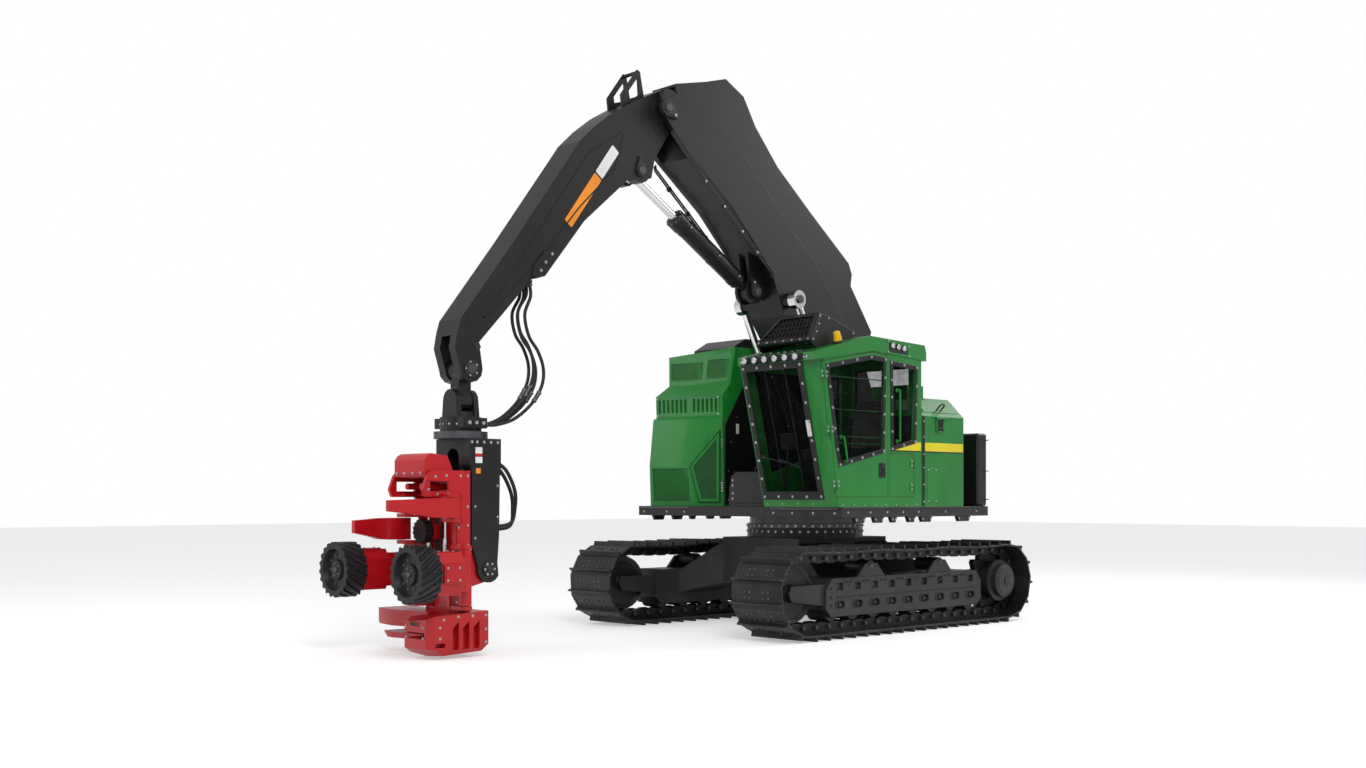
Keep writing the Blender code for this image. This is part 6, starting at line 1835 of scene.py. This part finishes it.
# Head: bolts, drum dishes, covers, plates
def addHeadDetail():
    look, middle = headForm, headForm["y"]
    for side, name in ((1, "left"), (-1, "right")):
        y, z, front = middle + side * look["drumOffset"], look["drumZ"], look["drumFront"]
        bolts, studs = bmesh.new(), bmesh.new()
        addBoltCircle(bolts, frontFace(front - 0.0545), (y, z), 0.140, 10, 0.0, 0.011)
        addBoltCircle(bolts, frontFace(front - 0.0295), (y, z), 0.058, 5, 0.0, 0.009, 0.5)
        addDisc(bolts, (front - 0.0295, y, z), (1, 0, 0), 0.028, 0.0, 0.014, 20, 0.85)
        addPiece(name + "DrumBolts", bolts, "darkSteel", "feed_drum_" + name)
        rim = bmesh.new()
        addFrame(rim, panel((front, y, z), (0, 1, 0), (0, 0, 1), (1, 0, 0)), arc((0, 0), 0.228, 0, 351, 40),
                 arc((0, 0), 0.206, 0, 351, 40), -0.007, -0.0006, 0.001)
        addPiece(name + "DrumRim", rim, "drumSteel", "feed_drum_" + name)
        rows = 16
        for i in range(rows):
            for k in range(4):
                share = (k + 0.5) / 4
                turn = 2 * math.pi * (i + 0.36) / rows + math.radians(34) * side * share
                out = Vector((0, math.cos(turn), math.sin(turn)))
                addDisc(studs, Vector((front - 0.22 * share, y,
                                       z)) + out * (look["drumRadius"] * 0.985 - 0.006), out,
                        0.012, 0.0, 0.009, 4, 0.55)
        addPiece(name + "DrumTeeth", studs, "drumSteel", "feed_drum_" + name)
        arm, armBolts = bmesh.new(), bmesh.new()
        cover = sideFace(middle + side * (look["drumOffset"] + 0.175), side)
        addPlate(arm, cover, rounded(rect(5.385, z - 0.07, 5.545, z + 0.07), 0.015),
                 0.0004, 0.006)
        addBolts(armBolts, cover, rect(5.40, z - 0.055, 5.53, z + 0.055), 0.006, 0.008)
        top = topFace(z + 0.19)
        addPlate(arm, top, rounded(rect(5.36, y - 0.065, 5.56, y + 0.065), 0.02),
                 0.0004, 0.008)
        addBolts(armBolts, top, rect(5.38, y - 0.045, 5.54, y + 0.045), 0.008, 0.008)
        addPiece(name + "ArmCovers", arm, "redPaint", "feed_arm_" + name)
        addPiece(name + "ArmBolts", armBolts, "boltSteel", "feed_arm_" + name)
    frame, bolts = bmesh.new(), bmesh.new()
    for side in (-1, 1):
        flank = sideFace(middle + side * 0.30, side)
        addBolts(bolts, flank, ((4.96, 1.69), (5.04, 1.69), (5.20, 1.69), (5.32, 1.68), (5.18, 1.515),
                                (5.30, 1.515), (5.40, 1.56),
                     (4.96, 1.40), (4.96, 1.22), (4.96, 0.94), (4.96, 0.50), (5.09, 0.50)), 0.0004, 0.009)
        strip = rect(5.13, 1.640, 5.42, 1.660)
        addPlate(frame, flank, strip, 0.0004, 0.006)
        addPlate(frame, flank, rounded(rect(4.945, 1.02, 5.085, 1.22), 0.02), 0.0004, 0.008)
        addBolts(bolts, flank, ((4.96, 1.035), (5.07, 1.035), (5.07, 1.205)), 0.008, 0.008)
    hood = frontFace(5.41)
    addPlate(frame, hood, rect(middle - 0.235, 1.70, middle + 0.235, 1.728),
             0.0004, 0.008)
    for y in (middle - 0.20, middle - 0.07, middle + 0.07, middle + 0.20):
        addBoltOn(bolts, hood, y, 1.714, 0.008, 0.010)
    addPiece("headTrim", frame, "redPaint", "head")
    bm = bmesh.new()
    for y in (middle - 0.14, middle + 0.14):
        addTube(bm, [(5.10, y, 1.455), (5.10, y, 1.10)], 0.016, 12)
        addDisc(bm, (5.10, y, 1.10), (0, 0, -1), 0.026, 0.0, 0.16, 16)
    addPiece("knifeRods", bm, "chrome", "head")
    lines, fittings = bmesh.new(), bmesh.new()
    for y, bow in ((middle - 0.05, 0.045), (middle, 0.055), (middle + 0.05, 0.045)):
        run = [(5.055, y, 1.44), (5.075 + bow * 0.3, y, 1.30), (5.070 + bow * 0.4, y * 0.9 - 0.015, 1.00),
               (5.060, y, 0.72),
               (5.045, y, 0.60)]
        line = []
        for a, b in zip(run, run[1:]):
            line += spread(a, b, 5)[:-1]
        addTube(lines, line + [run[-1]], 0.011, 10)
        for spot in (run[0], run[-1]):
            addDisc(fittings, spot, (0, 0, 1), 0.017, -0.02, 0.02, 6)
    addPiece("headHoseLines", lines, "hoseRubber", "head")
    addPiece("headFittings", fittings, "boltSteel", "head")
    saw = bmesh.new()
    lobe = sideFace(middle + 0.55)
    addBolts(bolts, lobe, ((4.93, 0.39), (5.08, 0.39), (5.24, 0.39), (5.40, 0.37), (4.93, 0.14), (4.93, 0.26),
                           (5.44, 0.20), (5.44, 0.30)), 0.0004, 0.009)
    front = frontFace(5.54)
    addBolts(bolts, front, rect(0.00, 0.20, 0.28, 0.30), 0.0004, 0.009)
    oval = arc((0.19, 0.325), 0.016, -90, 90, 9) + arc((0.09, 0.325), 0.016, 90, 270, 9)
    addFrame(saw, front, shrunk(oval, -0.008), oval, 0.0004, 0.006)
    addPiece("sawBoxTrim", saw, "redPaint", "head")
    bm = bmesh.new()
    addPlate(bm, front, oval, 0.0004, 0.0016, 0.0005)
    addPiece("sawBoxShade", bm, "blackPaint", "head")
    addPiece("headBolts", bolts, "boltSteel", "head")


def addHangerDetail():
    middle = headForm["y"]
    bolts, trim = bmesh.new(), bmesh.new()
    addBoltCircle(bolts, topFace(2.1140), (4.83, middle), 0.215, 20, 0.0, 0.0032)
    for side in (-1, 1):
        face = sideFace(middle + side * 0.285, side)
        for u in (4.60, 4.68, 4.76, 4.84, 4.90):
            addBoltOn(bolts, face, u, 2.015, 0.0004, 0.010)
        addBoltCircle(bolts, face, (4.70, 0.80), 0.055, 6, 0.0124, 0.008)
        addDisc(trim, on(face, 4.70, 0.80), face[3], 0.036, 0.0120, 0.020, 20, 0.9)
        addBolts(bolts, face, ((4.60, 1.60), (4.60, 1.30), (4.86, 1.10), (4.86, 1.40)), -0.0026, 0.008)
    addPiece("hangerBolts", bolts, "boltSteel", "hanger")
    addPiece("hangerTrim", trim, "greyPaint", "hanger")
    left = sideFace(middle + 0.285)
    for name, low, high, finish in (("hangerWhitePlate", 1.905, 1.965, "whitePlate"),
                                    ("hangerRedPlate", 1.875, 1.905, "redPaint"),
                                    ("hangerLowPlate", 1.815, 1.873, "whitePlate")):
        bm = bmesh.new()
        addPlate(bm, left, rect(4.78, low, 4.86, high), 0.0004, 0.0018, 0.0005)
        addPiece(name, bm, finish, "hanger")
    bm = bmesh.new()
    addPlate(bm, left, rect(4.800, 1.715, 4.855, 1.765), 0.0004, 0.0018, 0.0005)
    addPiece("hangerOrangePlate", bm, "orangePlate", "hanger")
    bm = bmesh.new()
    addBoltRing(bm, (4.83, middle, 2.19), 0.2002, 16, 0.007)
    for side in (-1, 1):
        face = sideFace(middle + side * 0.24, side)
        for u in (-0.08, 0.0, 0.08):
            addDisc(bm, on(face, 4.83 + u, 2.20), face[3], 0.021, 0.0004, 0.030, 6, 0.9)
    addPiece("rotatorFittings", bm, "boltSteel", "rotator_box")


addHeadDetail()
addHangerDetail()
print("stage: head")

# Operator's place: padded seat, levers, screen and pedals
seatLook = {"middle": 1.06, "cushion": (0.372, 1.800), "cushionSize": (0.54, 0.47, 0.104),
            "back": (0.098, 2.245),
            "backSize": (0.70, 0.47, 0.100), "backLean": (-0.115, 0, 0.74)}


# A crowned pad whose sides pull in between its corners, with two sewn channels along it
def addPad(bm, matrix, length, width, thick):
    rings = []
    for i in range(19):
        along = -1 + 2 * i / 18
        end = math.sqrt(max(0.0, 1 - abs(along) ** 5))
        pull = 0.955 + 0.045 * min(1.0, abs(along) ** 2 * 1.6)
        ring = []
        for k in range(36):
            turn = 2 * math.pi * k / 36
            cosine, sine = math.cos(turn), math.sin(turn)
            across = math.copysign(abs(cosine) ** 0.42, cosine)
            up = math.copysign(abs(sine) ** 0.62, sine)
            y = across * width / 2 * pull * (0.90 + 0.10 * end)
            z = up * thick / 2 * (0.30 + 0.70 * end) * (1 - 0.16 * across * across)
            if sine > 0:
                for groove in (-0.26, 0.26):
                    z -= 0.009 * math.exp(-((y / width - groove) / 0.022) ** 2) * end
                z -= 0.006 * math.exp(-(along / 0.045) ** 2)
            ring.append(matrix @ Vector((along * length / 2, y, z)))
        rings.append(ring)
    addLoft(bm, rings)


def addSeat(look):
    bm = bmesh.new()
    x, z = look["cushion"]
    addPad(bm, Matrix.Translation((x, look["middle"], z)), *look["cushionSize"])
    lean = Vector(look["backLean"]).normalized()
    out = Vector((lean.z, 0, -lean.x))
    x, z = look["back"]
    matrix = Matrix(((lean.x, 0, out.x, x), (0, 1, 0, look["middle"]), (lean.z, 0, out.z, z), (0, 0, 0, 1)))
    addPad(bm, matrix, *look["backSize"])
    seat = addPiece("seatPads", bm, "seatCloth", "upper", 60)
    smooth = seat.modifiers.new("smooth", "SUBSURF")
    smooth.levels = smooth.render_levels = 1
    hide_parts("operator_seat")


def addControls():
    middle = seatLook["middle"]
    sticks, knobs, rests = bmesh.new(), bmesh.new(), bmesh.new()
    for side in (-1, 1):
        y = middle + side * 0.36
        addTube(sticks, [(0.66, y, 2.021), (0.665, y, 2.06), (0.685, y, 2.10)], 0.012, 10)
        addDisc(sticks, (0.66, y, 2.0205), (0, 0, 1), 0.030, 0.0, 0.018, 18, 0.7)
        addTube(knobs, [(0.685, y, 2.095), (0.692, y, 2.13), (0.694, y, 2.17), (0.690, y, 2.20)], 0.02, 12,
                [0.016, 0.022, 0.024, 0.015])
        addPlate(rests, topFace(2.021),
                 rounded(rect(0.28, y - 0.045, 0.58, y + 0.045), 0.03), 0.0, 0.030,
                 0.010)
        for k in range(3):
            addDisc(knobs, (0.63 + 0.045 * k, y + 0.025 * side, 2.0205), (0, 0, 1), 0.008, 0.0, 0.012, 10)
    addPiece("leverStems", sticks, "darkSteel", "upper")
    addPiece("leverGrips", knobs, "darkPlastic", "upper")
    addPiece("armRests", rests, "darkPlastic", "upper")
    bm = bmesh.new()
    face = panel((1.02, 0.66, 2.10), (0, 0.94, 0), (0.18, 0, 0.98), (-0.95, 0.30, 0.15))
    addPlate(bm, face, rounded(rect(-0.10, -0.08, 0.14, 0.10), 0.015), -0.02, 0.012, 0.006)
    addTube(bm, [(1.035, 0.68, 2.08), (1.06, 0.66, 1.75), (1.05, 0.64, 1.4400)], 0.014, 10)
    for y in (0.93, 1.08):
        addPlate(bm, panel((1.00, y, 1.50), (0, 1, 0), (0.5, 0, 0.87), (-0.87, 0, 0.5)),
                 rounded(rect(-0.045, -0.05, 0.045, 0.11), 0.015), 0.0, 0.014, 0.004)
        addTube(bm, [(1.01, y, 1.53), (1.06, y, 1.4400)], 0.010, 8)
    addPiece("cabScreenAndPedals", bm, "darkPlastic", "upper")
    bm = bmesh.new()
    addPlate(bm, frontFace(0.105, -1),
             rect(0.60, 1.50, 1.50, 2.40), 0.19, 0.203, 0.004)
    addPiece("cabRearPanel", bm, "greyPaint", "upper")


addSeat(seatLook)
addControls()
print("stage: seat")

# Free hoses: two bowed ones behind the hanger, and the loop from the stick to the rotator
hoseLook = {"radius": 0.019, "top": 4.5590, "low": 4.5290,
            "hanger": [(-0.05, 0.32, 1.84, 1.20), (-0.20, 0.38, 1.84, 1.17)],
            "loopRadius": 0.017, "loopAcross": [(-0.235, 0.00), (-0.178, 0.035), (-0.122, -0.02),
                                                (-0.065, 0.045)],
            "loop": [(4.06, 3.50), (4.150, 3.330), (4.115, 3.130), (4.010, 2.990), (3.945, 2.820),
                     (3.965, 2.640),
                     (4.085, 2.450), (4.280, 2.285), (4.480, 2.205)]}


def flowing(points, spacing):
    line = []
    ends = [points[0]] + points + [points[-1]]
    for a, b, c, d in zip(ends, ends[1:], ends[2:], ends[3:]):
        a, b, c, d = Vector(a), Vector(b), Vector(c), Vector(d)
        for i in range(12):
            t = i / 12
            line.append(0.5 * (2 * b + (c - a) * t + (2 * a - 5 * b + 4 * c - d) * t * t
                               + (3 * b - 3 * c + d - a) * t * t * t))
    line.append(Vector(points[-1]))
    total = sum((b - a).length for a, b in zip(line, line[1:]))
    count = round(total / spacing)
    steps, walked, i = [line[0]], 0.0, 0
    for k in range(1, count):
        while walked + (line[i + 1] - line[i]).length < total * k / count:
            walked += (line[i + 1] - line[i]).length
            i += 1
        steps.append(line[i].lerp(line[i + 1], (total * k / count - walked) / (line[i + 1] - line[i]).length))
    return steps + [line[-1]]


def addFreeHose(name, steps, radius, body, cuffs):
    bm = bmesh.new()
    addTube(bm, steps, radius, 14)
    hose = addPiece(name, bm, "hoseRubber", body)
    for label, cuff, spot, toward in (("Start", cuffs[0], steps[0], steps[1]),
                                      ("End", cuffs[1], steps[-1], steps[-2])):
        collar = bmesh.new()
        out = (toward - spot).normalized()
        addDisc(collar, spot, out, radius * 1.35, 0.002, 0.045, 16)
        addDisc(collar, spot, out, radius * 1.55, 0.045, 0.060, 6)
        addPiece(name + label, collar, "darkSteel", cuff)


def addHoses():
    top, low, radius = hoseLook["top"], hoseLook["low"], hoseLook["radius"]
    for name, (across, depth, high, bottom) in zip(("leftHangerHose", "rightHangerHose"), hoseLook["hanger"]):
        inner = -0.15 + (across + 0.15) * 0.55
        route = [(top - 0.06, across, high), (top - 0.62 * depth, across, high - 0.09),
                 (top - 0.95 * depth, across, high - 0.29), (top - depth, (across + inner) / 2, high - 0.47),
                 (low - 0.80 * depth, inner, bottom + 0.03), (low - 0.06, inner, bottom)]
        steps = [Vector((top, across, high))] + flowing(route, radius * 1.6) + [Vector((low, inner, bottom))]
        addFreeHose(name, steps, radius, "hanger", ("hanger", "hanger"))
    radius = hoseLook["loopRadius"]
    for i, (across, bow) in enumerate(hoseLook["loopAcross"]):
        end = 4.83 - math.sqrt(0.2 ** 2 - (across + 0.15) ** 2) - 0.002
        route = [(4.058, across, 3.60)]
        for k, (x, z) in enumerate(hoseLook["loop"]):
            weight = math.sin(math.pi * (k + 0.5) / len(hoseLook["loop"]))
            route.append((x - bow * weight * 1.3, across, z - bow * weight * 0.9))
        route.append((end - 0.06, across, 2.195))
        steps = [Vector((4.055, across, 3.6625))] + flowing(route,
                                                            radius * 1.6) + [Vector((end, across, 2.195))]
        split = min(range(len(steps)), key=lambda k: (steps[k] - Vector((4.02, across, 2.52))).length)
        addFreeHose("loopHose%d" % (i + 1), steps[:split + 1], radius,
                    ("stick", "swing_link", (4.05, -0.15, 3.45), (4.02, -0.15, 2.66)),
                    ("stick", "swing_link"))
        addFreeHose("rotatorHose%d" % (i + 1), steps[split:], radius,
                    ("swing_link", "rotator_box", (4.10, -0.15, 2.44), (4.50, -0.15, 2.21)),
                    ("swing_link", "rotator_box"))


addHoses()
print("stage: hoses")

# Deck brackets under the edges
def addBrackets():
    bm = bmesh.new()
    for side in (-1, 1):
        face = sideFace(side * 1.56, side)
        for front, rear in deckLook["brackets"]:
            addPlate(bm, face, [(front, 1.2696), (front - 0.03, 1.21), (rear + 0.03, 1.21), (rear, 1.2696)],
                     0.0, 0.04)
    addPiece("deckBrackets", bm, "greyPaint", "upper")


addBrackets()
